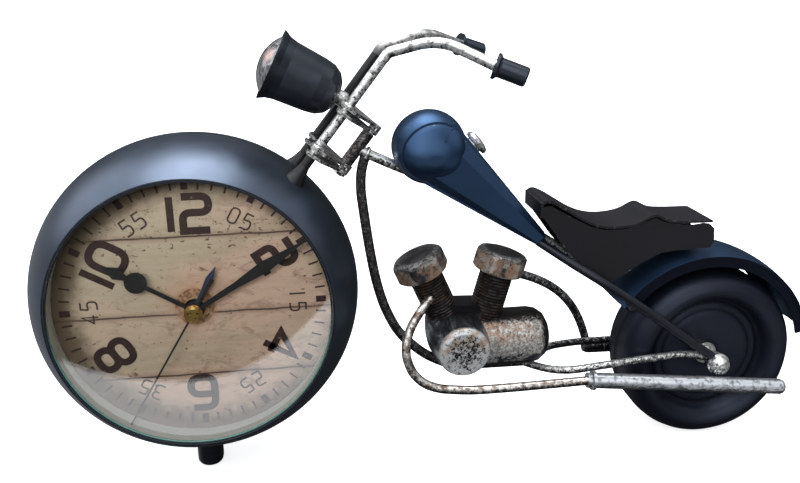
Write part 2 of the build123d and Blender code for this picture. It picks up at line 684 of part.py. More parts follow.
def make_seat_sides(top, cutters):
    outline = [(142.8, 113.9), (145.9, 114.2), (155.1, 109.0), (163.8, 104.3), (170.7, 102.5),
               (179.5, 102.6), (186.1, 104.4), (191.9, 106.7), (196.7, 104.5), (202.7, 103.3),
               (209.7, 102.6), (214.3, 103.1), (216.9, 102.7), (219.1, 100.6), (219.5, 94.9), (217.9, 92.1),
               (202.3, 91.6), (195.6, 90.9), (187.0, 86.7), (180.6, 82.5), (175.0, 79.1),
               (166.7, 81.3), (164.1, 83.1), (153.4, 94.9), (142.8, 109.7)]
    sides = slab(outline, -SEAT_HALF, -SEAT_HALF + SEAT_SHEET)
    sides += slab(outline, SEAT_HALF - SEAT_SHEET, SEAT_HALF)
    return minus(sides, top, *cutters)


# Engine ----------------------------------------------------------------------------------

def make_crankcase():
    side = [(0, 20.0), (8.8, 20.0), (10.4, 19.3), (11.3, 17.6), (12.0, 13.0), (12.8, 7.0), (CRANK_R, 0)]
    body = turned([(r, -y) for r, y in side[:-1]] + side[::-1], across(*CRANK))
    saddle = slab([(97.0, 63.0), (104.0, 70.6), (117.0, 70.0), (121.5, 63.0), (114.0, 56.0),
                   (104.0, 56.0)], -6.2, 6.2)
    return body + saddle


def make_gearbox():
    place = Plane(origin=(116.0, 0, GEAR_Z), x_dir=(0, 1, 0), z_dir=(1, 0, 0))
    return turned([(0, 0), (GEAR_R - 0.4, 0), (GEAR_R, 0.6), (GEAR_R, 25.4), (GEAR_R - 0.8, 28.8),
                   (GEAR_R - 3.0, 31.8), (GEAR_R - 6.0, 33.4), (0, 34.0)], place)


def make_cylinder(top, lean, spin, length):
    """Hex-headed barrel with a finely ridged shank, top at the given point."""
    direction = (math.sin(math.radians(lean)), 0, -math.cos(math.radians(lean)))
    place = Plane(origin=(top[0], 0, top[1]), x_dir=(0, 1, 0), z_dir=direction)
    hexagon = RegularPolygon(HEX_FLATS / 2, 6, major_radius=False)
    head = extrude(Rot(0, 0, spin) * fillet(hexagon.vertices(), HEX_CORNER), HEX_HIGH)
    rim = HEX_FLATS / 2 / math.cos(math.radians(30)) - 0.1 * HEX_CORNER
    trim = turned([(0, 0), (rim - 3.2, 0), (rim - 1.6, 0.5), (rim - 0.5, 1.5), (rim, 3.0),
                   (rim, HEX_HIGH - 1.2), (rim - 1.4, HEX_HIGH), (0, HEX_HIGH)])
    profile = [(0, HEX_HIGH), (SHANK_R - 0.5, HEX_HIGH)]
    depth = HEX_HIGH
    while depth < length:
        profile += [(SHANK_R - 0.5, depth + 0.3), (SHANK_R, depth + 0.6), (SHANK_R, depth + 1.0),
                    (SHANK_R - 0.5, depth + RIDGE)]
        depth += RIDGE
    profile.append((0, depth))
    return place * ((head & trim) + turned(profile))


# Exhausts --------------------------------------------------------------------------------

def make_muffler(start, end):
    place = Plane(origin=start, z_dir=Vector(*end) - Vector(*start))
    length = (Vector(*end) - Vector(*start)).length
    return turned([(0, 0), (2.6, 0), (3.0, 1.0), (MUFFLER_R, 2.4), (MUFFLER_R, length - 1.6),
                   (MUFFLER_R - 0.5, length - 0.5), (MUFFLER_R - 1.0, length), (0, length)], place)


def make_collar(start, end):
    """Clamp ring at the front of the left muffler."""
    place = Plane(origin=start, z_dir=Vector(*end) - Vector(*start))
    return turned([(0, -1.2), (3.3, -1.2), (3.3, 0.4), (4.2, 0.9), (4.2, 2.2), (0, 2.2)], place)


# Assembly --------------------------------------------------------------------------------

def build():
    filled = make_case_filled()
    node = {}
    node["clock_case"] = make_case()
    node["back_pan"] = make_back_pan()
    node["foot"] = make_foot(filled)
    node["clock_glass"] = disc(rim_radius(GLASS_Y[0], SHEET) - 0.05, *GLASS_Y)
    node["spacer_ring"] = disc(55.2, GLASS_Y[1], DIAL_Y, bore=54.5)
    node["dial_plate"] = disc(DIAL_R, DIAL_Y, MOVE_FRONT, bore=THREAD_R)
    node["bushing_nut"] = turned([(THREAD_R, NUT_Y), (5.6, NUT_Y), (6.2, NUT_Y + 0.8), (6.2, DIAL_Y - 0.4),
                                  (7.6, DIAL_Y - 0.4), (7.6, DIAL_Y), (THREAD_R, DIAL_Y)],
                                 across(0, CASE_Z))
    node["movement_case"] = make_movement_case()
    node["movement_cover"] = make_movement_cover()
    node["battery_contacts"] = make_contacts()
    node["motor_coil"] = make_motor()
    node["circuit_board"] = make_board()
    node["buzzer"] = make_buzzer()
    node["hour_hand"] = make_hour_hand()
    node["minute_hand"] = make_minute_hand()
    node["second_hand"] = make_second_hand()
    node["alarm_hand"] = make_alarm_hand()
    node["drive_wheel"] = make_drive_wheel()
    node["rotor"] = make_rotor()
    node["set_knob"] = make_set_knob()
    node["alarm_knob"] = make_alarm_knob()
    node["alarm_switch"] = make_alarm_switch()
    node["battery"] = make_battery()

    legs = both(make_fork_leg(-FORK_HALF, filled))
    grips = make_grip(-1) + make_grip(1)
    node["fork_legs"] = legs
    node["grips"] = grips
    node["handlebars"] = minus(make_handlebar(-1) + make_handlebar(1), legs, grips)
    node["steering_stem"] = make_stem()
    node["upper_yoke"] = minus(make_yoke(UPPER_YOKE), legs)
    node["lower_yoke"] = minus(make_yoke(LOWER_YOKE), legs)
    node["headlight_shell"] = make_lamp_shell()
    node["headlight_lens"] = minus(make_lens(), node["headlight_shell"])
    node["headlight_reflector"] = minus(make_reflector(), node["headlight_shell"])
    node["headlight_bracket"] = minus(make_lamp_bracket(legs), node["upper_yoke"])

    neck = make_neck()
    neck_fill = turned([(0, -20), (NECK_R, -20), (NECK_R, 20), (0, 20)], steer_frame())
    backbone = minus(rod(BACKBONE, TUBE_R), neck_fill)
    down_tube = minus(rod(DOWN_TUBE, TUBE_R), neck_fill, backbone)
    fittings = make_axle_nuts() + make_spacers()
    axle = make_axle()
    stays = [minus(make_seat_stay(-1), backbone, fittings, axle)]
    stays.append(minus(make_seat_stay(1), backbone, fittings, axle, stays[0]))
    node["neck_tube"] = neck
    node["backbone_tube"] = backbone
    node["down_tube"] = down_tube
    node["seat_stay_left"], node["seat_stay_right"] = stays
    node["chain_stay_left"] = minus(make_chain_stay_left(), down_tube, fittings, axle, stays[0])
    node["chain_stay_right"] = minus(make_chain_stay_right(), down_tube, fittings, axle, stays[1],
                                     node["chain_stay_left"])
    node["rear_axle"] = axle
    node["axle_fittings"] = fittings

    half = turned(wheel_half(), across(*WHEEL))
    node["wheel_shell_right"] = half
    node["wheel_shell_left"] = mirror(half, Plane.XZ)
    node["wheel_hub"] = disc(HUB_R, -HUB_HALF, HUB_HALF, *WHEEL, bore=AXLE_R + FIT)

    fender = make_fender()
    node["rear_fender"] = fender
    node["fender_bracket"] = make_fender_bracket(stays)

    node["tank_lids"], node["tank_band"] = make_tank(backbone)
    node["tank_lids"] = minus(node["tank_lids"], *stays)
    node["tank_band"] = minus(node["tank_band"], *stays)
    node["tank_cap"] = make_tank_cap(tank_solid(0))

    seat_top = minus(make_seat_top(), tank_solid(0))
    node["seat_top"] = seat_top
    node["seat_sides"] = make_seat_sides(seat_top, [*stays, backbone, fender, node["fender_bracket"]])

    crankcase = minus(make_crankcase(), down_tube)
    gearbox = minus(make_gearbox(), make_crankcase(), down_tube, node["chain_stay_left"],
                    node["chain_stay_right"])
    front = minus(make_cylinder(*FRONT_CYLINDER), crankcase, gearbox)
    rear = minus(make_cylinder(*REAR_CYLINDER), crankcase, gearbox)
    node["crankcase"] = crankcase
    node["gearbox"] = gearbox
    node["cylinder_front"] = front
    node["cylinder_rear"] = minus(rear, front)
    node["muffler_left"] = make_muffler(*LEFT_MUFFLER) + make_collar(*LEFT_MUFFLER)
    node["muffler_right"] = make_muffler(*RIGHT_MUFFLER)
    node["exhaust_pipe_left"] = minus(rod(LEFT_PIPE, PIPE_R), front, crankcase, node["muffler_left"])
    node["exhaust_pipe_right"] = minus(rod(RIGHT_PIPE, PIPE_R), rear, node["muffler_right"])
    return node


def centred(nodes):
    """Move everything so the overall box is centred on X = Y = 0 and stands on Z = 0."""
    boxes = [shape.bounding_box() for shape in nodes.values()]
    low = [min(getattr(box.min, axis) for box in boxes) for axis in "XYZ"]
    high = [max(getattr(box.max, axis) for box in boxes) for axis in "XYZ"]
    shift = Pos(-(low[0] + high[0]) / 2, -(low[1] + high[1]) / 2, -low[2])
    print("shift", shift.position, "low", low, "high", high)
    return {name: shift * shape for name, shape in nodes.items()}


os.makedirs("parts", exist_ok=True)
for name, shape in centred(build()).items():
    solids = len(shape.solids())
    print(name, "solids", solids, "volume", round(shape.volume, 1))
    export_step(shape, os.path.join("parts", name + ".step"))
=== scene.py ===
"""Looks of the motorcycle-shaped table clock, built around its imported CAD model. Metres throughout."""

import json
import math
import random

import bmesh
import bpy
from mathutils import Matrix, Vector


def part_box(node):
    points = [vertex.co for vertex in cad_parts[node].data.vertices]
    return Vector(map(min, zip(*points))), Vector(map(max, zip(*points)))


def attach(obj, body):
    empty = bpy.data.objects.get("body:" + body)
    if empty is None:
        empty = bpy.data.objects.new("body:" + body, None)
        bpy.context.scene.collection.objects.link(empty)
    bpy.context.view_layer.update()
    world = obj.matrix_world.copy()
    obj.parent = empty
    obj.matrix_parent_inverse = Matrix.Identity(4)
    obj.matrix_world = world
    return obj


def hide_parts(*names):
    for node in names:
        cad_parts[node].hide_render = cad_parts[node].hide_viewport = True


MM = 0.001

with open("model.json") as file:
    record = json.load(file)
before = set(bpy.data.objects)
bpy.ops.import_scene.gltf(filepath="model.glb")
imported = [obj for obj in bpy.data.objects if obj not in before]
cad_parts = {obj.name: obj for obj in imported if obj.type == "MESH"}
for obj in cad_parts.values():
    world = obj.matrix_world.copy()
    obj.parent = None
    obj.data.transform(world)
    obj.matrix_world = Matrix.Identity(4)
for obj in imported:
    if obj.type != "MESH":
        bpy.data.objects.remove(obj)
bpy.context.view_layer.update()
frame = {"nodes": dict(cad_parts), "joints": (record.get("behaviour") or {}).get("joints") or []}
NODES = frame["nodes"]
JOINTS = {joint["name"]: joint for joint in frame["joints"]}


def middle(node):
    """Centre of a CAD node's box."""
    low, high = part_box(node)
    return (low + high) / 2


# Places worked out from the frame
DIAL = middle("dial_plate")
DIAL_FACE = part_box("dial_plate")[0].y
CASE_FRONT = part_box("clock_case")[0].y
STEER_AT = Vector(JOINTS["steering"]["pos_m"])
STEER_UP = Vector(JOINTS["steering"]["axis"]).normalized()
STEER_AHEAD = Vector((-STEER_UP.z, 0, STEER_UP.x))
MID_Y = STEER_AT.y
FORK_AHEAD = 14.5 * MM                # from the steering axis forward to the fork's legs
FORK_HALF = 12.0 * MM                 # from the mid-plane to each leg
UPPER_YOKE, LOWER_YOKE = 12.4 * MM, -7.5 * MM
CRANK_HIGH = 13.2 * MM                # from the crankcase's lowest point to its middle
HEAD_HIGH = 9.4 * MM                  # height of the barrels' hex heads
CREST = (6.75 * MM, 7.3 * MM)         # radii between which a barrel's ridges turn pale brown: rust with a painted highlight on the crests
CAP_RADIUS = 3.65 * MM                # brass cap on the second hand
PLANK_SEAMS = (29.0, -3.0, -29.5)     # heights of the dark lines between planks, from the centre
CORNER_STEPS = 8                      # lengths that a rounded corner of a stroke is drawn in
LIP_RADIUS, LIP_BEAD = 54.4 * MM, 0.5 * MM
PANE_RADIUS, PANE_BEAD = 53.45 * MM, 0.35 * MM
WELD_RADIUS, WELD_BEAD, WELD_LUMPS = 2.15 * MM, 0.75 * MM, 0.35
BARREL_TOPS = {"cylinder_front": ((91.0, 92.4), 23.5), "cylinder_rear": ((129.4, 92.2), -15.8)}


def steer(along, ahead, side=0.0):
    """A point by its distance along, ahead of and beside the steering axis, in metres."""
    return STEER_AT + STEER_UP * along + STEER_AHEAD * ahead + Vector((0, side, 0))


def from_clock(x, y, z):
    """A point in millimetres from the dial's centre in plan and height, and from the mid-plane."""
    return Vector((DIAL.x + x * MM, MID_Y + y * MM, DIAL.z + z * MM))


BACKBONE_WELD, BACKBONE_WAY = from_clock(71.4, 0, 55.1), Vector((0.90, 0, -0.434))
LAMP_TILT = math.radians(27)
LAMP_AXIS = Vector((math.cos(LAMP_TILT), 0, -math.sin(LAMP_TILT)))     # from the lens back into the shell
LAMP_RIM = from_clock(34.9, 0, 91.8) + LAMP_AXIS * 0.9 * MM
LENS_RIM, LENS_TALL, LENS_EDGE = 12.5 * MM, 5.6 * MM, 1.6 * MM
LENS_ROWS, LENS_AROUND = 7, 18        # facets from the middle out, and round the axis
LENS_SPOT = LAMP_RIM + Vector((-2.0, -8.0, 5.0)) * MM


# Node trees ------------------------------------------------------------------------------

class Graph:
    """A material's node tree, with a short call for each kind of node used here."""

    def __init__(self, name):
        self.material = bpy.data.materials.new(name)
        self.material.use_nodes = True
        tree = self.material.node_tree
        self.nodes, self.links = tree.nodes, tree.links
        self.nodes.clear()
        self.place = self.node("TexCoord").outputs["Object"]

    def node(self, kind, inputs=None, **settings):
        made = self.nodes.new("ShaderNode" + kind)
        for key, value in settings.items():
            setattr(made, key, value)
        for key, value in (inputs or {}).items():
            self.put(made.inputs[key], value)
        return made

    def put(self, socket, value):
        if isinstance(value, bpy.types.NodeSocket):
            self.links.new(value, socket)
        else:
            socket.default_value = value

    def math(self, operation, a, b=0.0, clamp=False):
        return self.node("Math", {0: a, 1: b}, operation=operation, use_clamp=clamp).outputs[0]

    def vector(self, operation, a, b=(0, 0, 0)):
        made = self.node("VectorMath", {0: a, 1: b}, operation=operation)
        return made.outputs["Value" if operation in ("DOT_PRODUCT", "LENGTH") else "Vector"]

    def axis(self, which, vector=None):
        return self.node("SeparateXYZ", {0: vector or self.place}).outputs["XYZ".index(which)]

    def noise(self, size, detail=4.0, rough=0.55, distort=0.0, stretch=(1, 1, 1), shift=0.0):
        """Noise from 0 to 1 whose features are about size millimetres."""
        at = self.node("Mapping", {"Vector": self.place, "Location": (shift, shift, shift), "Scale": stretch})
        made = self.node("TexNoise", {"Vector": at.outputs[0], "Scale": 1 / (size * MM), "Detail": detail,
                                      "Roughness": rough, "Distortion": distort})
        return made.outputs[0]

    def grow(self, value, low, high, to_low=0.0, to_high=1.0):
        """Smooth step from to_low to to_high as value goes from low to high."""
        return self.node("MapRange", {"Value": value, "From Min": low, "From Max": high, "To Min": to_low,
                                      "To Max": to_high}, interpolation_type="SMOOTHSTEP").outputs[0]

    def mix(self, share, a, b):
        made = self.node("Mix", {0: share}, data_type="RGBA")
        for index, value in ((6, a), (7, b)):
            self.put(made.inputs[index], value if isinstance(value, bpy.types.NodeSocket) else (*value, 1))
        return made.outputs[2]

    def blend(self, share, a, b):
        return self.node("Mix", {0: share, 2: a, 3: b}, data_type="FLOAT").outputs[0]

    def bump(self, height, depth, normal=None):
        """Bump whose full height is depth millimetres."""
        made = self.node("Bump", {"Height": height, "Distance": depth * MM, "Strength": 1.0})
        if normal is not None:
            self.links.new(normal, made.inputs["Normal"])
        return made.outputs[0]

    def edges(self, width, gain=3.0):
        """1 on sharp edges and 0 elsewhere."""
        soft = self.node("Bevel", {"Radius": width * MM}, samples=4).outputs[0]
        sharp = self.node("NewGeometry").outputs["Normal"]
        alike = self.vector("DOT_PRODUCT", soft, sharp)
        return self.math("MULTIPLY", self.math("SUBTRACT", 1.0, alike), gain, clamp=True)

    def upward(self):
        """-1 to 1 as the surface looks down or up."""
        return self.axis("Z", self.node("NewGeometry").outputs["Normal"])

    def surface(self, **inputs):
        named = {key.replace("_", " "): value for key, value in inputs.items()}
        colour = named.get("Base Color")
        if isinstance(colour, tuple) and len(colour) == 3:
            named["Base Color"] = (*colour, 1)
        shader = self.node("BsdfPrincipled", named)
        self.links.new(shader.outputs[0], self.node("OutputMaterial").inputs["Surface"])
        return self.material


# Materials -------------------------------------------------------------------------------

def satin_paint(name, colour, metallic=0.8, roughness=0.36, chips=0.0, soft=0.0, shade=None):
    """Sprayed satin paint: faint orange peel and cloudy sheen.

    chips wears the edges, soft rounds them off in millimetres, and shade is a painted shade: the darker colour
    given to side walls to stand for the shade on them.
    """
    g = Graph(name)
    cloud = g.noise(18, 2)
    tone = g.mix(g.grow(cloud, 0.3, 0.7), tuple(c * 0.93 for c in colour), tuple(c * 1.06 for c in colour))
    rough = g.grow(g.noise(6, 3, 0.5, shift=3.1), 0.25, 0.75, roughness - 0.02, roughness + 0.03)
    if chips:
        worn = g.math("MULTIPLY", g.edges(0.7), g.grow(g.noise(2.2, 6, 0.7), 0.62 - 0.2 * chips, 0.68))
        tone = g.mix(worn, tone, (0.55, 0.55, 0.53))
        rough = g.blend(worn, rough, 0.45)
    # Painted shade: faces that look along Y, the side walls, turn towards the shade colour.
    if shade is not None:
        across = g.math("ABSOLUTE", g.axis("Y", g.node("NewGeometry").outputs["Normal"]))
        tone = g.mix(g.grow(across, 0.35, 0.75), tone, shade)
    smooth = g.node("Bevel", {"Radius": soft * MM}, samples=6).outputs[0] if soft else None
    return g.surface(Base_Color=tone, Metallic=metallic, Roughness=rough,
                     Normal=g.bump(g.noise(0.55, 3, 0.5), 0.008, smooth))


def brushed_silver(name, share=0.55, silver=(0.95, 0.94, 0.92), dark=(0.006, 0.006, 0.008), size=2.6,
                   grain=(1, 1, 1), upper=0.08, tint=None, only=None):
    """Silver dry-brushed over black. share is how much is silver; only(graph) limits where it lies."""
    g = Graph(name)
    patch = g.noise(size, 9, 0.74, 0.9, grain)
    streak = g.noise(size * 0.4, 5, 0.7, 0.4, grain, 5.0)
    height = g.math("ADD", g.math("MULTIPLY", patch, 0.62), g.math("MULTIPLY", streak, 0.38))
    height = g.math("ADD", height, g.math("MULTIPLY", g.upward(), upper))
    height = g.math("ADD", height, g.math("MULTIPLY", g.edges(0.5), 0.12))
    cut = 0.5 + 0.26 * (0.5 - share)
    cover = g.grow(height, cut - 0.045, cut + 0.055)
    if only is not None:
        cover = g.math("MULTIPLY", cover, only(g))
    thick = g.grow(g.noise(size * 1.3, 4, shift=9.0), 0.30, 0.54)
    light = g.mix(thick, tuple(c * 0.36 for c in silver), silver)
    if tint is not None:
        light = g.mix(g.grow(g.noise(size * 1.8, 6, 0.65, shift=2.0), 0.46, 0.62), light, tint)
    tone = g.mix(cover, dark, light)
    return g.surface(Base_Color=tone, Metallic=g.blend(cover, 0.1, 0.9), Roughness=g.blend(cover, 0.40, 0.30),
                     Normal=g.bump(g.blend(0.35, cover, g.noise(0.7, 4)), 0.07))


def along_steering(g):
    """Distance along the steering axis."""
    return g.vector("DOT_PRODUCT", g.vector("SUBTRACT", g.place, tuple(STEER_AT)), tuple(STEER_UP))


def on_near_leg(g):
    """The near fork leg above the lower yoke; the rest of the legs is black."""
    high = g.grow(along_steering(g), -13 * MM, -9 * MM)
    return g.math("MULTIPLY", high, g.grow(g.axis("Y"), MID_Y + 2 * MM, MID_Y - 2 * MM))


def on_bars(g):
    """All of the near bar and the upper part of the far one."""
    high = g.grow(along_steering(g), 34 * MM, 44 * MM, 0.12, 1.0)
    return g.math("MAXIMUM", high, g.grow(g.axis("Y"), MID_Y + 2 * MM, MID_Y - 2 * MM))


def second_hand_finish():
    """Black hand with a brass cap over the pin."""
    g = Graph("second_hand_finish")
    rel = g.vector("MULTIPLY", g.vector("SUBTRACT", g.place, tuple(DIAL)), (1, 0, 1))
    cap = g.grow(g.vector("LENGTH", rel), CAP_RADIUS + 0.05 * MM, CAP_RADIUS - 0.05 * MM)
    tone = g.mix(cap, (0.012, 0.012, 0.013), (0.85, 0.58, 0.20))
    spin = g.noise(1.2, 5, 0.6)
    rough = g.blend(cap, 0.5, g.grow(spin, 0.3, 0.7, 0.24, 0.4))
    return g.surface(Base_Color=tone, Metallic=cap, Roughness=rough, Normal=g.bump(spin, 0.01))


def crank_metal():
    """The crankcase: bright speckled cap, grey-blue and dark brushed flanks."""
    g = Graph("crank_metal")
    low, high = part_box("crankcase")
    cap = g.grow(g.axis("Y"), low.y + 2.4 * MM, low.y + 1.2 * MM)
    rel = g.vector("SUBTRACT", g.place, (middle("crankcase").x, 0, low.z + CRANK_HIGH))
    away = g.vector("LENGTH", g.vector("MULTIPLY", rel, (1, 0, 1)))
    inner = g.grow(away, 12.5 * MM, 3.0 * MM, -0.06, 0.055)
    worn = g.grow(g.math("ADD", g.noise(1.4, 9, 0.78, 0.5), inner), 0.50, 0.57)
    sweep = g.noise(4.0, 7, 0.7, 0.6, (0.8, 0.25, 0.8), 2.0)
    on_side = g.math("MULTIPLY", g.grow(sweep, 0.32, 0.52),
                     g.grow(g.axis("Z"), high.z - 3.5 * MM, high.z - 8.5 * MM))
    cover = g.blend(cap, on_side, g.math("SUBTRACT", 1.0, worn))
    upper = g.grow(g.axis("Z", rel), -3 * MM, 5 * MM)
    warm = g.math("MULTIPLY", g.grow(g.noise(4, 4, shift=7.0), 0.42, 0.60), upper)
    bright = g.mix(warm, (0.68, 0.68, 0.69), (0.50, 0.38, 0.29))
    flank = g.mix(g.grow(sweep, 0.46, 0.64), (0.09, 0.10, 0.12), (0.50, 0.53, 0.57))
    tone = g.mix(cover, (0.014, 0.013, 0.015), g.mix(cap, flank, bright))
    return g.surface(Base_Color=tone, Metallic=g.blend(cap, 0.75, 0.45), Roughness=g.blend(cover, 0.45, 0.38),
                     Normal=g.bump(g.blend(0.4, cover, g.noise(0.6, 4)), 0.07))


def gearbox_metal():
    """Silver and rust brown along the middle, black above and below and on the far end."""
    g = Graph("gearbox_metal")
    low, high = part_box("gearbox")
    x, z = g.axis("X"), g.axis("Z")
    centre = (low.z + high.z) / 2
    above = g.grow(z, centre + 13.5 * MM, centre + 8.5 * MM)
    below = g.grow(z, centre - 10.5 * MM, centre - 6.5 * MM)
    end = g.grow(x, high.x - 1.0 * MM, high.x - 6 * MM)
    band = g.math("MULTIPLY", g.math("MULTIPLY", above, below), end)
    strokes = g.noise(1.5, 9, 0.76, 0.5, (1, 1, 0.40))
    cover = g.grow(g.math("ADD", strokes, g.math("MULTIPLY", band, 0.40)), 0.72, 0.90)
    patch = g.math("MULTIPLY", g.grow(g.noise(4.5, 5, 0.6, 0.5, shift=6.5), 0.50, 0.58),
                   g.grow(z, centre - 1.5 * MM, centre - 4.5 * MM))
    corner = g.math("MULTIPLY", g.grow(z, centre - 1.0 * MM, centre + 5 * MM),
                    g.grow(x, high.x, low.x + 2 * MM, 0.4))
    rust = g.math("MULTIPLY", g.grow(g.noise(3.4, 7, 0.7, 1.0), 0.38, 0.58), corner)
    bright = g.mix(g.grow(g.noise(1.0, 6, 0.7, shift=4.0), 0.40, 0.62), (0.26, 0.25, 0.23), (0.72, 0.71, 0.68))
    tone = g.mix(rust, bright, g.mix(g.noise(1.0, 5), (0.14, 0.07, 0.04), (0.50, 0.30, 0.19)))
    tone = g.mix(cover, (0.016, 0.013, 0.014), tone)
    tone = g.mix(patch, tone, (0.035, 0.04, 0.06))
    edge_line = g.math("MULTIPLY", g.grow(x, low.x + 1.0 * MM, low.x + 0.7 * MM), 0.8)
    tone = g.mix(edge_line, tone, (0.75, 0.74, 0.72))
    return g.surface(Base_Color=tone, Metallic=0.45, Roughness=g.blend(cover, 0.42, 0.40),
                     Normal=g.bump(g.blend(0.4, cover, g.noise(0.6, 4)), 0.07))


def barrel_metal(name, top, lean):
    """Bolt-like barrel: rust and silver on the head's sides, dark face, and on the shank pale brown ridge
    crests that are rust with a painted highlight.
    """
    g = Graph(name)
    down = (math.sin(math.radians(lean)), 0, -math.cos(math.radians(lean)))
    rel = g.vector("SUBTRACT", g.place, tuple(top))
    depth = g.vector("DOT_PRODUCT", rel, down)
    away = g.vector("LENGTH", g.vector("CROSS_PRODUCT", rel, down))
    head = g.grow(depth, HEAD_HIGH + 0.3 * MM, HEAD_HIGH - 0.1 * MM)
    side = g.grow(depth, 0.9 * MM, 2.6 * MM)
    blotch = g.noise(5.5, 6, 0.62, 0.8)
    nick = g.noise(1.3, 8, 0.75, 0.7, (1, 1, 1), 6.0)
    rust = g.mix(g.grow(blotch, 0.38, 0.60), (0.46, 0.41, 0.37), (0.32, 0.20, 0.135))
    rust = g.mix(g.grow(g.noise(8, 4, shift=3.0), 0.48, 0.62), rust, (0.03, 0.027, 0.032))
    flank = g.mix(g.grow(nick, 0.47, 0.39), rust, (0.025, 0.018, 0.016))
    face = g.mix(g.grow(blotch, 0.40, 0.62), (0.022, 0.022, 0.026), (0.085, 0.083, 0.085))
    rub = g.math("MULTIPLY", g.grow(away, 7.0 * MM, 9.4 * MM), g.grow(nick, 0.42, 0.6, 0, 0.75))
    face = g.mix(rub, face, (0.40, 0.39, 0.38))
    on_head = g.mix(side, face, flank)
    # Ridge crests: rust with a painted highlight.
    rust_and_highlight_crest = g.math("MULTIPLY", g.grow(away, *CREST), g.grow(g.noise(2.4, 5, 0.65), 0.40, 0.62))
    ridge = g.mix(g.grow(g.noise(6, 3, shift=1.0), 0.45, 0.6), (0.080, 0.070, 0.068), (0.105, 0.065, 0.046))
    on_shank = g.mix(rust_and_highlight_crest, (0.012, 0.009, 0.009), ridge)
    tone = g.mix(head, on_shank, on_head)
    return g.surface(Base_Color=tone, Metallic=0.5, Roughness=g.grow(blotch, 0.3, 0.7, 0.34, 0.50),
                     Normal=g.bump(g.blend(0.6, blotch, nick), 0.09))


def dial_print():
    """Paper printed with weathered planks, darker towards the rim, and a rust ring at the centre."""
    g = Graph("dial_print")
    rel = g.vector("SUBTRACT", g.place, tuple(DIAL))
    x, z = g.axis("X", rel), g.axis("Z", rel)
    radius = g.vector("LENGTH", g.vector("MULTIPLY", rel, (1, 0, 1)))
    grain = g.noise(2.2, 7, 0.66, 0.3, (0.16, 1, 1))
    broad = g.noise(20, 3, 0.5, 0.8, (0.5, 1, 1), 2.0)
    wood = g.mix(g.grow(broad, 0.40, 0.60), (0.46, 0.37, 0.26), (0.58, 0.41, 0.31))
    wood = g.mix(g.grow(grain, 0.35, 0.75, 0, 0.45), wood, (0.66, 0.55, 0.44))
    blots = g.grow(g.noise(5.0, 7, 0.72, 1.0, (0.5, 1, 1), 4.0), 0.52, 0.66, 0, 0.60)
    wood = g.mix(blots, wood, (0.26, 0.17, 0.12))
    pale = g.grow(g.math("ADD", x, g.math("MULTIPLY", z, -0.6)), 10 * MM, -20 * MM, 0, 0.40)
    wood = g.mix(pale, wood, (0.50, 0.46, 0.34))
    wobble = g.math("MULTIPLY", g.math("SUBTRACT", g.noise(9, 3, 0.5, 0, (0.6, 0, 0)), 0.5), 1.3 * MM)
    for seam in PLANK_SEAMS:
        away = g.math("ABSOLUTE", g.math("SUBTRACT", g.math("ADD", z, wobble), seam * MM))
        line = g.math("MULTIPLY", g.grow(away, 0.60 * MM, 0.10 * MM), g.grow(grain, 0.25, 0.5, 0.45, 0.95))
        haze = g.grow(away, 2.6 * MM, 0.2 * MM, 0, 0.38)
        wood = g.mix(haze, wood, (0.25, 0.15, 0.12))
        wood = g.mix(line, wood, (0.05, 0.03, 0.024))
    near_seam = g.grow(g.math("ABSOLUTE", g.math("SUBTRACT", z, 30 * MM)), 12 * MM, 2 * MM, 0, 0.05)
    specks = g.math("ADD", g.noise(1.4, 4, 0.6, 0.2, (0.7, 1, 1), 11.0), near_seam)
    wood = g.mix(g.grow(specks, 0.645, 0.69, 0, 0.85), wood, (0.07, 0.04, 0.03))
    knots = g.grow(g.noise(6.5, 5, 0.6, 0.7, (1, 1, 1.8), 21.0), 0.655, 0.70, 0, 0.78)
    wood = g.mix(knots, wood, (0.10, 0.05, 0.035))
    rust = g.math("MULTIPLY", g.grow(radius, 9.4 * MM, 6.8 * MM), g.grow(g.noise(2.2, 4), 0.3, 0.6, 0.35, 1.0))
    wood = g.mix(g.math("MULTIPLY", rust, 0.85), wood, (0.45, 0.19, 0.06))
    stain = g.math("MULTIPLY", g.grow(radius, 22 * MM, 6 * MM, 0, 0.40), g.grow(z, -4 * MM, 4 * MM))
    wood = g.mix(stain, wood, (0.60, 0.33, 0.22))
    # Darker towards the rim, more so on the left and at top and bottom, with a ragged edge.
    side = g.math("MULTIPLY", g.math("ADD", g.math("MULTIPLY", x, -1.0), g.math("ABSOLUTE", z)), 0.09)
    ragged = g.math("ADD", g.math("ADD", radius, side), g.math("MULTIPLY", g.noise(6, 6, 0.65), 12 * MM))
    dark_towards_rim = g.grow(ragged, 50 * MM, 62 * MM, 0, 0.92)
    wood = g.mix(dark_towards_rim, wood, (0.10, 0.072, 0.045))
    return g.surface(Base_Color=wood, Roughness=0.62, Specular_IOR_Level=0.3, Normal=g.bump(grain, 0.02))


def worn_print(name, colour, wear=0.5):
    """Printed ink rubbed thin in places, so that the plank shows."""
    g = Graph(name)
    rubbed = g.grow(g.noise(1.5, 7, 0.72, 0.6, (0.5, 1, 1)), 0.66 - 0.10 * wear, 0.74)
    tone = g.mix(rubbed, colour, (0.36, 0.27, 0.21))
    tone = g.mix(g.grow(g.noise(4, 3), 0.3, 0.7, 0, 0.4), tone, tuple(c * 1.8 for c in colour))
    return g.surface(Base_Color=tone, Roughness=0.6, Specular_IOR_Level=0.3)


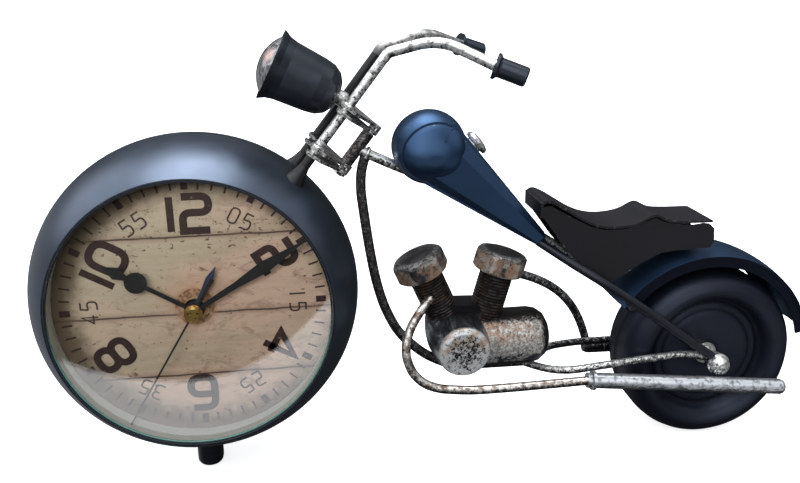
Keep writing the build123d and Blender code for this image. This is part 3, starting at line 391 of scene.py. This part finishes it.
def clear_glass():
    """Flat glass: mirrors by angle, passes the rest, and is green along its edge."""
    g = Graph("pane_glass")
    facing = g.math("ABSOLUTE", g.axis("Y", g.node("NewGeometry").outputs["Normal"]))
    edge = g.grow(facing, 0.6, 0.3)
    mirror = g.math("MULTIPLY", g.node("Fresnel", {"IOR": 1.62}).outputs[0], 1.15, clamp=True)
    alpha = g.math("MAXIMUM", mirror, g.math("MULTIPLY", edge, 0.85))
    tone = g.mix(edge, (1, 1, 1), (0.16, 0.34, 0.29))
    smear = g.grow(g.noise(22, 4, 0.6, 1.5), 0.3, 0.8, 0.015, 0.05)
    return g.surface(Base_Color=tone, Metallic=g.math("SUBTRACT", 1.0, edge), Roughness=smear, Alpha=alpha)


def glass_edge_light_and_shade():
    """Edge of the pane, with painted light and shade: green at the bottom, where light runs along it, and dark
    at the top.
    """
    g = Graph("glass_edge_painted_light_and_shade")
    # Painted light below and painted shade above, by height.
    down = g.grow(g.axis("Z"), DIAL.z + 5 * MM, DIAL.z - 25 * MM)
    tone = g.mix(down, (0.012, 0.014, 0.016), (0.11, 0.25, 0.21))
    return g.surface(Base_Color=tone, Roughness=0.25)


def lens_glass():
    """Moulded clear plastic: pale and dark facets over the reflector, and one warm spot."""
    g = Graph("lens_clear")
    milky = g.noise(3.0, 6, 0.7, 1.4, (1, 1, 0.5))
    tone = g.mix(g.grow(milky, 0.36, 0.62), (0.035, 0.037, 0.045), (0.34, 0.34, 0.36))
    away = g.vector("LENGTH", g.vector("SUBTRACT", g.place, tuple(LENS_SPOT)))
    tone = g.mix(g.grow(away, 4.5 * MM, 1.5 * MM, 0, 0.6), tone, (0.60, 0.38, 0.32))
    return g.surface(Base_Color=tone, Metallic=0.35, Roughness=0.14, IOR=1.49, Coat_Weight=0.5,
                     Coat_Roughness=0.04, Normal=g.bump(g.noise(1.6, 3), 0.10))


def lamp_paint():
    """Satin black with silver spatter where the lamp is fixed."""
    g = Graph("lamp_paint")
    rel = g.vector("SUBTRACT", g.place, tuple(middle("headlight_bracket")))
    near = g.grow(g.vector("LENGTH", rel), 15 * MM, 6 * MM, 0, 0.30)
    spatter = g.grow(g.math("ADD", g.noise(1.5, 8, 0.75, 1.2), near), 0.74, 0.82)
    tone = g.mix(g.grow(g.noise(12, 3), 0.3, 0.7), (0.040, 0.045, 0.058), (0.055, 0.062, 0.080))
    tone = g.mix(spatter, tone, (0.62, 0.62, 0.60))
    rough = g.grow(g.noise(5, 5, 0.65, shift=3.1), 0.25, 0.75, 0.30, 0.40)
    return g.surface(Base_Color=tone, Metallic=0.8, Roughness=rough, Normal=g.bump(g.noise(0.5, 3), 0.012))


def turned_metal(name, colour, roughness):
    """Bare metal with fine turning marks and a few dull spots."""
    g = Graph(name)
    dull = g.noise(2.5, 6, 0.65)
    tone = g.mix(g.grow(dull, 0.45, 0.75), colour, tuple(c * 0.62 for c in colour))
    rough = g.grow(dull, 0.3, 0.7, roughness, roughness + 0.16)
    return g.surface(Base_Color=tone, Metallic=1.0, Roughness=rough,
                     Normal=g.bump(g.noise(0.35, 2, 0.5, 0, (1, 0.1, 1)), 0.006))


def rusted_flange():
    """Brass nut whose flange has gone the colour of rust."""
    g = Graph("bushing_brass")
    rel = g.vector("SUBTRACT", g.place, tuple(DIAL))
    away = g.vector("LENGTH", g.vector("MULTIPLY", rel, (1, 0, 1)))
    outer = g.grow(g.math("ADD", away, g.math("MULTIPLY", g.noise(2, 4), 1.2 * MM)), 4.6 * MM, 5.6 * MM)
    rust = g.mix(g.grow(g.noise(1.6, 5), 0.35, 0.65), (0.20, 0.09, 0.04), (0.46, 0.30, 0.19))
    tone = g.mix(outer, (0.78, 0.56, 0.24), rust)
    return g.surface(Base_Color=tone, Metallic=g.blend(outer, 0.9, 0.0), Roughness=g.blend(outer, 0.26, 0.7),
                     Normal=g.bump(g.noise(0.6, 4), 0.02))


def moulded(name, colour, roughness=0.42):
    """Moulded plastic with a fine spark-eroded texture."""
    g = Graph(name)
    tone = g.mix(g.noise(9, 4), tuple(c * 0.85 for c in colour), tuple(c * 1.15 for c in colour))
    rough = g.grow(g.noise(3, 4), 0.3, 0.7, roughness - 0.05, roughness + 0.08)
    return g.surface(Base_Color=tone, Roughness=rough, Normal=g.bump(g.noise(0.25, 2), 0.012))


def cell_film():
    """Printed film of the cell: dark body, copper-coloured end and a pale band."""
    g = Graph("cell_film")
    low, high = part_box("battery")
    x = g.axis("X")
    copper = g.grow(x, high.x - 14.5 * MM, high.x - 14.0 * MM)
    bare = g.grow(x, high.x - 2.0 * MM, high.x - 1.8 * MM)
    after, before = g.grow(x, low.x + 5 * MM, low.x + 5.2 * MM), g.grow(x, low.x + 8.2 * MM, low.x + 8 * MM)
    band = g.math("MULTIPLY", after, before)
    tone = g.mix(copper, (0.03, 0.032, 0.036), (0.62, 0.33, 0.12))
    tone = g.mix(band, tone, (0.7, 0.7, 0.68))
    tone = g.mix(bare, tone, (0.72, 0.72, 0.70))
    return g.surface(Base_Color=tone, Metallic=0.7, Roughness=0.28, Coat_Weight=0.5, Coat_Roughness=0.1)


def wound_wire():
    """Coil of enamelled wire between its flanges."""
    g = Graph("wound_wire")
    turns = g.math("SINE", g.math("MULTIPLY", g.axis("X"), 2 * math.pi / (0.32 * MM)))
    tone = g.mix(g.grow(turns, -0.6, 0.9), (0.18, 0.06, 0.02), (0.62, 0.28, 0.10))
    return g.surface(Base_Color=tone, Metallic=0.8, Roughness=0.35, Normal=g.bump(turns, 0.05))


PAINT_BLACK = (0.088, 0.108, 0.148)
PAINT_BLUE = (0.034, 0.072, 0.150)

LOOKS = {
    "case": satin_paint("case_paint", PAINT_BLACK, 0.85, 0.34),
    "black": satin_paint("black_paint", (0.022, 0.025, 0.033), 0.6, 0.36, chips=0.25),
    "pan": satin_paint("pan_paint", (0.045, 0.048, 0.056), 0.3, 0.45, soft=1.5),
    "wheel": satin_paint("wheel_paint", (0.022, 0.026, 0.043), 0.70, 0.36, soft=4.0),
    "blue": satin_paint("blue_paint", PAINT_BLUE, 0.82, 0.36, chips=0.12),
    # Painted shade: the fender's side walls are coloured near black for the shade on them.
    "fender": satin_paint("fender_blue_painted_shade", PAINT_BLUE, 0.82, 0.34, chips=0.25, shade=(0.006, 0.008, 0.018)),
    "seat": satin_paint("seat_paint", (0.0065, 0.0062, 0.0095), 0.2, 0.46, chips=0.30),
    "silver": brushed_silver("silver_worn", 0.56, size=2.4),
    "nut": brushed_silver("nut_silver", 0.60, size=1.3),
    "silver_dark": brushed_silver("silver_sparse", 0.36, size=1.8),
    "silver_faint": brushed_silver("silver_faint", 0.12, size=2.0),
    "brown": brushed_silver("brown_speckled", 0.34, (0.40, 0.36, 0.34), size=1.5, tint=(0.16, 0.10, 0.075)),
    "silver_bright": brushed_silver("silver_bright", 0.72, (0.74, 0.76, 0.80), (0.05, 0.05, 0.055),
                                    size=1.5, grain=(0.25, 1, 1), upper=0.24),
    "pipe": brushed_silver("pipe_silver", 0.46, (0.80, 0.76, 0.72),
                           size=1.5, tint=(0.17, 0.115, 0.085), upper=0.16),
    "crank": crank_metal(),
    "gearbox": gearbox_metal(),
    "dial": dial_print(),
    "pane": clear_glass(),
    "lens": lens_glass(),
    "glass_edge": glass_edge_light_and_shade(),
    "lamp": lamp_paint(),
    "liner": moulded("pale_liner", (0.56, 0.60, 0.55), 0.5),
    "brass": turned_metal("brass_turned", (0.80, 0.58, 0.26), 0.24),
    "bushing": rusted_flange(),
    "steel": turned_metal("steel_turned", (0.55, 0.55, 0.54), 0.26),
    "nickel": turned_metal("nickel_plate", (0.76, 0.75, 0.72), 0.16),
    "second_hand": second_hand_finish(),
    "fork": brushed_silver("fork_silver", 0.60, size=2.5, only=on_near_leg),
    "bars": brushed_silver("bar_silver", 0.70, size=2.5, only=on_bars),
    "hand": satin_paint("hand_black", (0.012, 0.012, 0.013), 0.1, 0.5),
    "hand_blue": satin_paint("hand_blue", (0.035, 0.050, 0.095), 0.2, 0.45),
    "plastic": moulded("plastic_black", (0.040, 0.040, 0.044)),
    "gear_plastic": moulded("plastic_white", (0.72, 0.70, 0.64), 0.35),
    "board": moulded("board_green", (0.03, 0.14, 0.05), 0.35),
    "cell": cell_film(),
    "coil": wound_wire(),
    "grip": satin_paint("grip_paint", (0.045, 0.054, 0.072), 0.75, 0.28),
    "ink": worn_print("numeral_ink", (0.035, 0.020, 0.018)),
    "ink_thin": worn_print("fine_ink", (0.045, 0.030, 0.026), 0.8),
}
for barrel, (top, lean) in BARREL_TOPS.items():
    at = Vector((DIAL.x + top[0] * MM, MID_Y, DIAL.z + (top[1] - 82.0) * MM))
    LOOKS[barrel] = barrel_metal(barrel + "_metal", at, lean)

NODE_LOOKS = {
    "case": ["clock_case"],
    "black": ["foot", "seat_stay_left", "seat_stay_right", "fender_bracket"],
    "wheel": ["wheel_shell_left", "wheel_shell_right"],
    "blue": ["tank_lids", "tank_band"],
    "fender": ["rear_fender"],
    "seat": ["seat_top", "seat_sides"],
    "silver": ["upper_yoke", "lower_yoke", "headlight_bracket", "backbone_tube"],
    "brown": ["neck_tube", "down_tube"],
    "silver_dark": ["chain_stay_left", "exhaust_pipe_right", "steering_stem"],
    "silver_faint": ["chain_stay_right", "muffler_right"],
    "silver_bright": ["muffler_left"],
    "nut": ["tank_cap", "axle_fittings"],
    "pipe": ["exhaust_pipe_left"],
    "pan": ["back_pan"],
    "crank": ["crankcase"],
    "gearbox": ["gearbox"],
    "cylinder_front": ["cylinder_front"],
    "cylinder_rear": ["cylinder_rear"],
    "dial": ["dial_plate"],
    "pane": ["clock_glass"],
    "lens": ["headlight_lens"],
    "lamp": ["headlight_shell"],
    "liner": ["spacer_ring"],
    "brass": ["buzzer"],
    "bushing": ["bushing_nut"],
    "steel": ["rear_axle", "wheel_hub"],
    "nickel": ["headlight_reflector", "battery_contacts"],
    "hand": ["hour_hand", "minute_hand"],
    "second_hand": ["second_hand"],
    "fork": ["fork_legs"],
    "bars": ["handlebars"],
    "hand_blue": ["alarm_hand"],
    "plastic": ["movement_case", "movement_cover", "set_knob", "alarm_knob", "alarm_switch"],
    "gear_plastic": ["drive_wheel", "rotor"],
    "board": ["circuit_board"],
    "cell": ["battery"],
    "coil": ["motor_coil"],
    "grip": ["grips"],
}


def dress(thing, look):
    """Gives a mesh the one material named."""
    thing.data.materials.clear()
    thing.data.materials.append(LOOKS[look])


for look, names in NODE_LOOKS.items():
    for name in names:
        dress(NODES[name], look)


# Pieces ----------------------------------------------------------------------------------

def piece(name, points, faces, body, look, smooth=False):
    """A mesh of the object's own that rides on a CAD body."""
    mesh = bpy.data.meshes.new(name)
    mesh.from_pydata([tuple(point) for point in points], [], faces)
    mesh.validate()
    work = bmesh.new()
    work.from_mesh(mesh)
    bmesh.ops.recalc_face_normals(work, faces=work.faces)
    work.to_mesh(mesh)
    work.free()
    for face in mesh.polygons:
        face.use_smooth = smooth
    thing = bpy.data.objects.new(name, mesh)
    bpy.context.scene.collection.objects.link(thing)
    dress(thing, look)
    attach(thing, body)
    return thing


def rounded(points, bends, closed):
    """The line through points with each corner replaced by a curve that starts bend before it."""
    count = len(points)
    line = []
    for index, (x, y) in enumerate(points):
        bend = bends[index]
        inner = closed or 0 < index < count - 1
        if not inner or bend <= 0:
            line.append((x, y))
            continue
        here = Vector((x, y))
        before = Vector(points[index - 1]) - here
        after = Vector(points[(index + 1) % count]) - here
        start = here + before.normalized() * min(bend, before.length * 0.5)
        end = here + after.normalized() * min(bend, after.length * 0.5)
        for step in range(CORNER_STEPS + 1):
            t = step / CORNER_STEPS
            line.append(tuple(start * (1 - t) ** 2 + here * 2 * t * (1 - t) + end * t ** 2))
    return line


def ribbon(points, width, bends, closed=False):
    """Left and right edges of an even stroke along a rounded line."""
    line = [Vector(point) for point in rounded(points, bends, closed)]
    count = len(line)
    left, right = [], []
    for index, here in enumerate(line):
        before = line[index - 1] if closed or index else here
        after = line[(index + 1) % count] if closed or index < count - 1 else here
        ways = [way.normalized() for way in (here - before, after - here) if way.length > 1e-9]
        way = sum(ways, Vector((0, 0))).normalized()
        stretch = 1 / max(0.5, way.dot(ways[0]))
        side = Vector((-way.y, way.x)) * width / 2 * stretch
        left.append(here + side)
        right.append(here - side)
    return left, right


class Print:
    """Thin raised print on the dial, gathered into one mesh. Strokes that cross differ in height."""

    THICK = 0.05 * MM
    STEP = 0.008 * MM
    GAP = 0.01 * MM

    def __init__(self):
        self.points, self.faces, self.strokes = [], [], 0

    def add(self, left, right, angle, radius, closed=False):
        """Adds a stroke drawn around (0, 0), stood at radius and turned clockwise by angle."""
        turn = math.radians(angle)
        up = Vector((math.sin(turn), math.cos(turn)))
        along = Vector((math.cos(turn), -math.sin(turn)))
        start = len(self.points)
        rise = self.THICK + self.STEP * (self.strokes % 3)
        self.strokes += 1
        for depth in (0, rise):
            for a, b in zip(left, right):
                for point in (a, b):
                    flat = along * point.x + up * (point.y + radius)
                    y = DIAL_FACE - self.GAP - depth
                    self.points.append((DIAL.x + flat.x * MM, y, DIAL.z + flat.y * MM))
        count = len(left)
        layer = 2 * count
        for index in range(count if closed else count - 1):
            a, b = start + 2 * index, start + 2 * ((index + 1) % count)
            self.faces += [(a, a + 1, b + 1, b), (a + layer, b + layer, b + 1 + layer, a + 1 + layer),
                           (a, b, b + layer, a + layer), (a + 1, a + 1 + layer, b + 1 + layer, b + 1)]
        if not closed:
            for end in (start, start + layer - 2):
                self.faces.append((end, end + layer, end + 1 + layer, end + 1))

    def finish(self, name, look):
        """Makes the gathered strokes one piece."""
        return piece(name, self.points, self.faces, "front_end", look)


# Each figure is a list of strokes (points in a 1 by 1 box, corner bends as shares of the width, closed)
FIGURES = {
    "0": [([(0, 0), (0, 1), (1, 1), (1, 0)], [0.5, 0.5, 0.5, 0.5], True)],
    "1": [([(0.5, 0), (0.5, 1)], [0, 0], False)],
    "2": [([(0, 1), (1, 1), (1, 0.53), (0, 0.53), (0, 0), (1, 0)], [0, 0.34, 0.34, 0.3, 0, 0], False)],
    "3": [([(0, 1), (1, 1), (1, 0.54), (0.35, 0.54)], [0, 0.45, 0.4, 0], False),
          ([(0.35, 0.54), (1, 0.54), (1, 0), (0, 0)], [0, 0.45, 0.5, 0], False)],
    "4": [([(0.74, 0), (0.74, 1), (0, 0.3), (1.0, 0.3)], [0, 0, 0, 0], False)],
    "5": [([(0.95, 1), (0.12, 1), (0.04, 0.56), (1, 0.60), (1, 0), (0, 0)], [0, 0, 0.1, 0.45, 0.5, 0], False)],
    "6": [([(0.95, 1), (0, 1), (0, 0), (1, 0), (1, 0.56), (0, 0.56)], [0, 0.42, 0.42, 0.42, 0.42, 0], False)],
    "8": [([(0, 0), (0, 0.50), (1, 0.50), (1, 0)], [0.45] * 4, True),
          ([(0.06, 0.50), (0.06, 1), (0.94, 1), (0.94, 0.50)], [0.42] * 4, True)],
}


def figure(ink, character, left_edge, wide, high, stroke, angle, radius):
    """Prints one figure whose outer box starts at left_edge and stands centred on radius."""
    across = max(wide - stroke, 0.01)
    for points, bends, closed in FIGURES[character]:
        placed = [(left_edge + stroke / 2 + x * across, -high / 2 + stroke / 2 + y * (high - stroke))
                  for x, y in points]
        ink.add(*ribbon(placed, stroke, [bend * across for bend in bends], closed), angle, radius, closed)


HOURS = {12: [("1", -7.6, 2.9), ("2", -3.0, 13.0)], 2: [("2", -6.2, 12.4)], 4: [("4", -6.4, 12.6)],
         6: [("6", -6.2, 12.4)], 8: [("8", -6.4, 12.8)], 10: [("1", -7.6, 2.9), ("0", -3.0, 12.4)]}
HOUR_HIGH, HOUR_RADIUS, HOUR_STROKE, ONE_STROKE = 16.6, 38.0, 3.0, 2.8
MINUTE_HIGH, MINUTE_WIDE, MINUTE_RADIUS, MINUTE_STROKE = 7.0, 4.1, 40.4, 0.72
MINUTE_LEFT, MINUTE_RIGHT = -4.9, 0.7         # left edges of a minute number's two figures
TICK_RADIUS, TICK_IN, TICK_OUT, TICK_WIDE, TICK_THIN = 49.7, -2.0, 2.1, 2.6, 0.75


def make_dial_print():
    """Hour numerals, minute numbers and the minute ticks."""
    hours = Print()
    for hour, parts in HOURS.items():
        for character, left_edge, wide in parts:
            stroke = ONE_STROKE if character == "1" else HOUR_STROKE
            figure(hours, character, left_edge, wide, HOUR_HIGH, stroke, 30 * hour, HOUR_RADIUS)
    hours.finish("dial_numerals", "ink")
    minutes = Print()
    for hour in (1, 3, 5, 7, 9, 11):
        for place, character in enumerate(f"{5 * hour:02d}"):
            left_edge = (MINUTE_LEFT, MINUTE_RIGHT)[place]
            figure(minutes, character, left_edge, MINUTE_WIDE, MINUTE_HIGH, MINUTE_STROKE,
                   30 * hour, MINUTE_RADIUS)
    minutes.finish("dial_minutes", "ink_thin")
    ticks = Print()
    for minute in range(60):
        wide = TICK_THIN if minute % 5 else TICK_WIDE
        ticks.add(*ribbon([(0, TICK_IN), (0, TICK_OUT)], wide, [0, 0]), 6 * minute, TICK_RADIUS)
    ticks.finish("dial_ticks", "ink")


make_dial_print()


def ring(name, centre, axis, radius, bead, body, look, seed=0, lumps=0.0, steps=(96, 12)):
    """A bead round an axis, lumpy if it is a weld."""
    draw = random.Random(seed)
    phases = [draw.uniform(0, 2 * math.pi) for _ in range(4)]
    side = axis.orthogonal().normalized()
    other = axis.cross(side).normalized()
    points, faces = [], []
    around, section = steps
    for i in range(around):
        a = 2 * math.pi * i / around
        swell = sum(math.sin((3 + 2 * k) * a + phases[k]) for k in range(4)) / 4
        size = bead * (1 + lumps * swell)
        out = side * math.cos(a) + other * math.sin(a)
        for j in range(section):
            b = 2 * math.pi * j / section
            points.append(centre + out * (radius + size * math.cos(b)) + axis * size * math.sin(b))
            faces.append((i * section + j, i * section + (j + 1) % section,
                          (i + 1) % around * section + (j + 1) % section, (i + 1) % around * section + j))
    return piece(name, points, faces, body, look, smooth=True)


def make_lip():
    """Rolled front edge of the case."""
    centre = Vector((DIAL.x, CASE_FRONT + 0.35 * MM, DIAL.z))
    ring("case_lip", centre, Vector((0, 1, 0)), LIP_RADIUS, LIP_BEAD, "front_end", "black",
         steps=(192, 12))


def make_glass_edge():
    """The pane's ground edge, with painted light: green where light runs along it, dark above."""
    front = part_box("clock_glass")[0].y
    ring("glass_edge", Vector((DIAL.x, front - 0.1 * MM, DIAL.z)), Vector((0, 1, 0)), PANE_RADIUS, PANE_BEAD,
         "front_end", "glass_edge", steps=(192, 10))


def make_welds():
    """Beads where rods meet the yokes and the neck."""
    for index, side in enumerate((-FORK_HALF, FORK_HALF)):
        look = "silver" if side < 0 else "black"
        for name, along, seed in (("upper", UPPER_YOKE, 12), ("lower", LOWER_YOKE, -7)):
            ring(f"weld_{name}_yoke_{index}", steer(along, FORK_AHEAD, side), STEER_UP,
                 WELD_RADIUS, WELD_BEAD, "front_end", look, seed=index + seed,
                 lumps=WELD_LUMPS, steps=(36, 8))
    ring("weld_backbone", BACKBONE_WELD, BACKBONE_WAY, WELD_RADIUS + 0.05 * MM, WELD_BEAD + 0.05 * MM,
         "frame", "silver", seed=5, lumps=WELD_LUMPS, steps=(36, 8))


make_lip()
make_glass_edge()
make_welds()


def lens_point(radius, angle):
    """A point on the lens's dome by its distance from the lamp's axis and its angle round it."""
    side = Vector((0, 1, 0))
    other = LAMP_AXIS.cross(side).normalized()
    ball = (LENS_RIM ** 2 + LENS_TALL ** 2) / (2 * LENS_TALL)
    rise = math.sqrt(ball ** 2 - radius ** 2) - (ball - LENS_TALL)
    return LAMP_RIM + side * radius * math.cos(angle) + other * radius * math.sin(angle) - LAMP_AXIS * rise


def make_lens():
    """Faceted dome of the headlight: rows of flat facets that cross like a net."""
    rows, around = LENS_ROWS, LENS_AROUND
    points = [lens_point(0, 0)]
    for row in range(1, rows + 1):
        for step in range(around):
            turn = 2 * math.pi * (step + 0.5 * (row % 2)) / around
            points.append(lens_point(LENS_RIM * row / rows * 0.999, turn))
    front = len(points)
    faces = [(0, 1 + step, 1 + (step + 1) % around) for step in range(around)]
    for row in range(rows - 1):
        for step in range(around):
            a, b = 1 + row * around + step, 1 + row * around + (step + 1) % around
            lean = (row + 1) % 2
            c = 1 + (row + 1) * around + (step + lean) % around
            d = 1 + (row + 1) * around + (step + lean - 1) % around
            faces += [(a, b, c), (a, c, d)]
    points += [point + LAMP_AXIS * LENS_EDGE for point in points[front - around:front]]
    outer = front - around
    for step in range(around):
        after = (step + 1) % around
        faces.append((outer + step, front + step, front + after, outer + after))
    faces.append(tuple(front + step for step in range(around)))
    made = piece("lens_facets", points, faces, "front_end", "lens")
    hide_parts("headlight_lens")


make_lens()


# Stage -----------------------------------------------------------------------------------

FLOOR_HALF, FLOOR_GLOW = 40.0, 0.75
CARD_GLOW = 1.7
CARD_LEFT, CARD_STEP, CARD_STEPS = -190, 10, 41
CARD_BACK, CARD_FRONT, CARD_HIGH = -34, -340, 0.6
CARD_EDGE = (-136.0, -15.0, 0.006, 0.019)     # nearest depth, its x, bow to the left and to the right
TABLE_GLOW = 0.42
TABLE_LEFT, TABLE_RIGHT, TABLE_FRONT, TABLE_BACK, TABLE_HIGH = -600, 900, -1500, -45, 0.4
AMBIENT = 0.04
DOME = [                                      # direction, cosines where light starts and is full, strength
    ((-0.04, 0.10, 0.99), 0.86, 0.995, 7.2),
    ((-0.74, 0.28, 0.60), 0.87, 0.99, 2.0),
    ((-0.75, 0.48, -0.35), 0.72, 0.96, 0.35),
    ((0.80, -0.10, 0.60), 0.86, 0.99, 0.8),
    ((0.08, -0.88, 0.52), 0.74, 0.98, 1.20),
    ((-0.50, -0.60, 0.62), 0.75, 0.98, 1.50),
    ((0, 0, 1), 0.0, 1.0, 0.25),
]
DIAL_THINGS = ["dial_plate", "spacer_ring", "bushing_nut", "hour_hand", "minute_hand", "second_hand",
               "alarm_hand", "dial_numerals", "dial_minutes", "dial_ticks"]
BACK_THINGS = ["back_pan", "movement_case", "movement_cover", "battery", "battery_contacts", "set_knob",
               "alarm_knob", "alarm_switch", "buzzer", "circuit_board"]
DIAL_WATTS, BACK_WATTS, SOFT_SIZE = 2.9, 2.0, 0.30
DIAL_LAMP, BACK_LAMP = (-60, -330, 330), (60, 330, 300)
CAMERA_AT = (41.42, -329.833, 204.308)
CAMERA_TURN = (7.433, 17.745, -0.828)         # degrees to the right, down and of roll
CAMERA_LENS, CAMERA_FILM = 37.217, 36.0


def from_case(x, y, z):
    """Millimetres from the foot of the clock's centre line, in row coordinates."""
    return Vector((DIAL.x + x * MM, MID_Y + y * MM, z * MM))


def make_floor():
    """Plain white floor that mirrors don't see."""
    mesh = bpy.data.meshes.new("floor")
    corners = [(-FLOOR_HALF, -FLOOR_HALF, 0), (FLOOR_HALF, -FLOOR_HALF, 0),
               (FLOOR_HALF, FLOOR_HALF, 0), (-FLOOR_HALF, FLOOR_HALF, 0)]
    mesh.from_pydata(corners, [], [(0, 1, 2, 3)])
    floor = bpy.data.objects.new("floor", mesh)
    bpy.context.scene.collection.objects.link(floor)
    g = Graph("floor_white")
    shade = g.node("BsdfDiffuse", {"Color": (0.86, 0.86, 0.87, 1)}).outputs[0]
    glow = g.node("Emission", {"Color": (1, 1, 1, 1), "Strength": FLOOR_GLOW}).outputs[0]
    both = g.node("AddShader", {0: shade, 1: glow}).outputs[0]
    g.links.new(both, g.node("OutputMaterial").inputs["Surface"])
    mesh.materials.append(g.material)
    floor.visible_glossy = False
    floor.visible_diffuse = False


def lit_only(name, things, state="INCLUDE"):
    """A collection of the only things that a light falls on, or of the things that it misses."""
    group = bpy.data.collections.new(name)
    for thing in things:
        group.objects.link(bpy.data.objects[thing] if thing not in NODES else NODES[thing])
    for member in group.collection_objects:
        member.light_linking.link_state = state
    return group


def make_card():
    """White sheet lying in front of the clock that only mirrors see."""
    near, middle_x, bow_left, bow_right = CARD_EDGE
    front = []
    for step in range(CARD_STEPS):
        x = CARD_LEFT + CARD_STEP * step
        bow = bow_left if x < middle_x else bow_right
        front.append((x, max(near - bow * (x - middle_x) ** 2, CARD_FRONT)))
    outline = [(CARD_LEFT, CARD_BACK)] + front + [(front[-1][0], CARD_BACK)]
    mesh = bpy.data.meshes.new("card")
    mesh.from_pydata([tuple(from_case(x, y, CARD_HIGH)) for x, y in outline], [], [tuple(range(len(outline)))])
    card = bpy.data.objects.new("card", mesh)
    bpy.context.scene.collection.objects.link(card)
    g = Graph("card_glow")
    glow = g.node("Emission", {"Color": (0.93, 0.96, 1, 1), "Strength": CARD_GLOW}).outputs[0]
    g.links.new(glow, g.node("OutputMaterial").inputs["Surface"])
    mesh.materials.append(g.material)
    card.visible_camera = False
    card.visible_diffuse = False
    card.visible_transmission = False
    card.visible_shadow = False
    card.light_linking.receiver_collection = lit_only("card_mirror", ["clock_glass"])


def make_table_glow():
    """Light that the white table throws up at everything but the pane and the dial's parts."""
    mesh = bpy.data.meshes.new("table_glow")
    corners = [(TABLE_LEFT, TABLE_FRONT), (TABLE_RIGHT, TABLE_FRONT),
               (TABLE_RIGHT, TABLE_BACK), (TABLE_LEFT, TABLE_BACK)]
    mesh.from_pydata([tuple(from_case(x, y, TABLE_HIGH)) for x, y in corners], [], [(0, 1, 2, 3)])
    sheet = bpy.data.objects.new("table_glow", mesh)
    bpy.context.scene.collection.objects.link(sheet)
    g = Graph("table_light")
    glow = g.node("Emission", {"Color": (0.96, 0.98, 1, 1), "Strength": TABLE_GLOW}).outputs[0]
    g.links.new(glow, g.node("OutputMaterial").inputs["Surface"])
    mesh.materials.append(g.material)
    sheet.visible_camera = False
    sheet.visible_shadow = False
    sheet.visible_transmission = False
    sheet.light_linking.receiver_collection = lit_only("table_unlit", ["clock_glass"] + DIAL_THINGS, "EXCLUDE")


def make_lamp(name, place, watts, things):
    """Soft light aimed at the clock's middle that falls only on the things named."""
    data = bpy.data.lights.new(name, "AREA")
    data.size = SOFT_SIZE
    data.energy = watts
    data.color = (1.0, 0.985, 0.96)
    lamp = bpy.data.objects.new(name, data)
    lamp.matrix_world = Matrix.Translation(place) @ (DIAL - place).to_track_quat("-Z", "Y").to_matrix().to_4x4()
    bpy.context.scene.collection.objects.link(lamp)
    lamp.light_linking.receiver_collection = lit_only(name + "_lit", things)


def make_world():
    """White to the camera; to everything else a soft dome, brightest above and to the left."""
    world = bpy.data.worlds.new("studio")
    world.use_nodes = True
    bpy.context.scene.world = world
    nodes, links = world.node_tree.nodes, world.node_tree.links
    nodes.clear()

    def math_node(operation, a, b=0.0):
        made = nodes.new("ShaderNodeMath")
        made.operation = operation
        for socket, value in zip(made.inputs, (a, b)):
            if isinstance(value, bpy.types.NodeSocket):
                links.new(value, socket)
            else:
                socket.default_value = value
        return made.outputs[0]

    def facing(direction, low, high, strength):
        dot = nodes.new("ShaderNodeVectorMath")
        dot.operation = "DOT_PRODUCT"
        links.new(nodes["where"].outputs["Generated"], dot.inputs[0])
        dot.inputs[1].default_value = Vector(direction).normalized()
        grow = nodes.new("ShaderNodeMapRange")
        grow.interpolation_type = "SMOOTHSTEP"
        grow.inputs["From Min"].default_value = low
        grow.inputs["From Max"].default_value = high
        grow.inputs["To Max"].default_value = strength
        links.new(dot.outputs["Value"], grow.inputs["Value"])
        return grow.outputs[0]

    where = nodes.new("ShaderNodeTexCoord")
    where.name = "where"
    light = AMBIENT
    for direction, low, high, strength in DOME:
        light = math_node("ADD", facing(direction, low, high, strength), light)
    dome = nodes.new("ShaderNodeBackground")
    dome.inputs["Color"].default_value = (0.95, 0.98, 1.0, 1)
    links.new(light, dome.inputs["Strength"])
    white = nodes.new("ShaderNodeBackground")
    white.inputs["Strength"].default_value = 1.0
    seen = nodes.new("ShaderNodeLightPath")
    both = nodes.new("ShaderNodeMixShader")
    links.new(seen.outputs["Is Camera Ray"], both.inputs[0])
    links.new(dome.outputs[0], both.inputs[1])
    links.new(white.outputs[0], both.inputs[2])
    out = nodes.new("ShaderNodeOutputWorld")
    links.new(both.outputs[0], out.inputs["Surface"])


def make_camera():
    """Camera at the height and angle of a person looking down at the clock on a table."""
    yaw, pitch, roll = (math.radians(angle) for angle in CAMERA_TURN)
    ahead = Vector((math.sin(yaw) * math.cos(pitch), math.cos(yaw) * math.cos(pitch), -math.sin(pitch)))
    level = Vector((math.cos(yaw), -math.sin(yaw), 0))
    upright = level.cross(ahead)
    right = level * math.cos(roll) + upright * math.sin(roll)
    up = upright * math.cos(roll) - level * math.sin(roll)
    data = bpy.data.cameras.new("camera")
    data.sensor_width, data.lens = CAMERA_FILM, CAMERA_LENS
    data.clip_start, data.clip_end = 0.01, 200
    camera = bpy.data.objects.new("camera", data)
    place = from_case(*CAMERA_AT)
    turn = Matrix((right, up, -ahead)).transposed().to_4x4()
    camera.matrix_world = Matrix.Translation(place) @ turn
    bpy.context.scene.collection.objects.link(camera)
    bpy.context.scene.camera = camera


make_camera()
make_floor()
make_card()
make_table_glow()
make_lamp("dial_light", from_case(*DIAL_LAMP), DIAL_WATTS, DIAL_THINGS)
make_lamp("back_light", from_case(*BACK_LAMP), BACK_WATTS, BACK_THINGS)
make_world()
bpy.context.scene.view_settings.view_transform = "Standard"
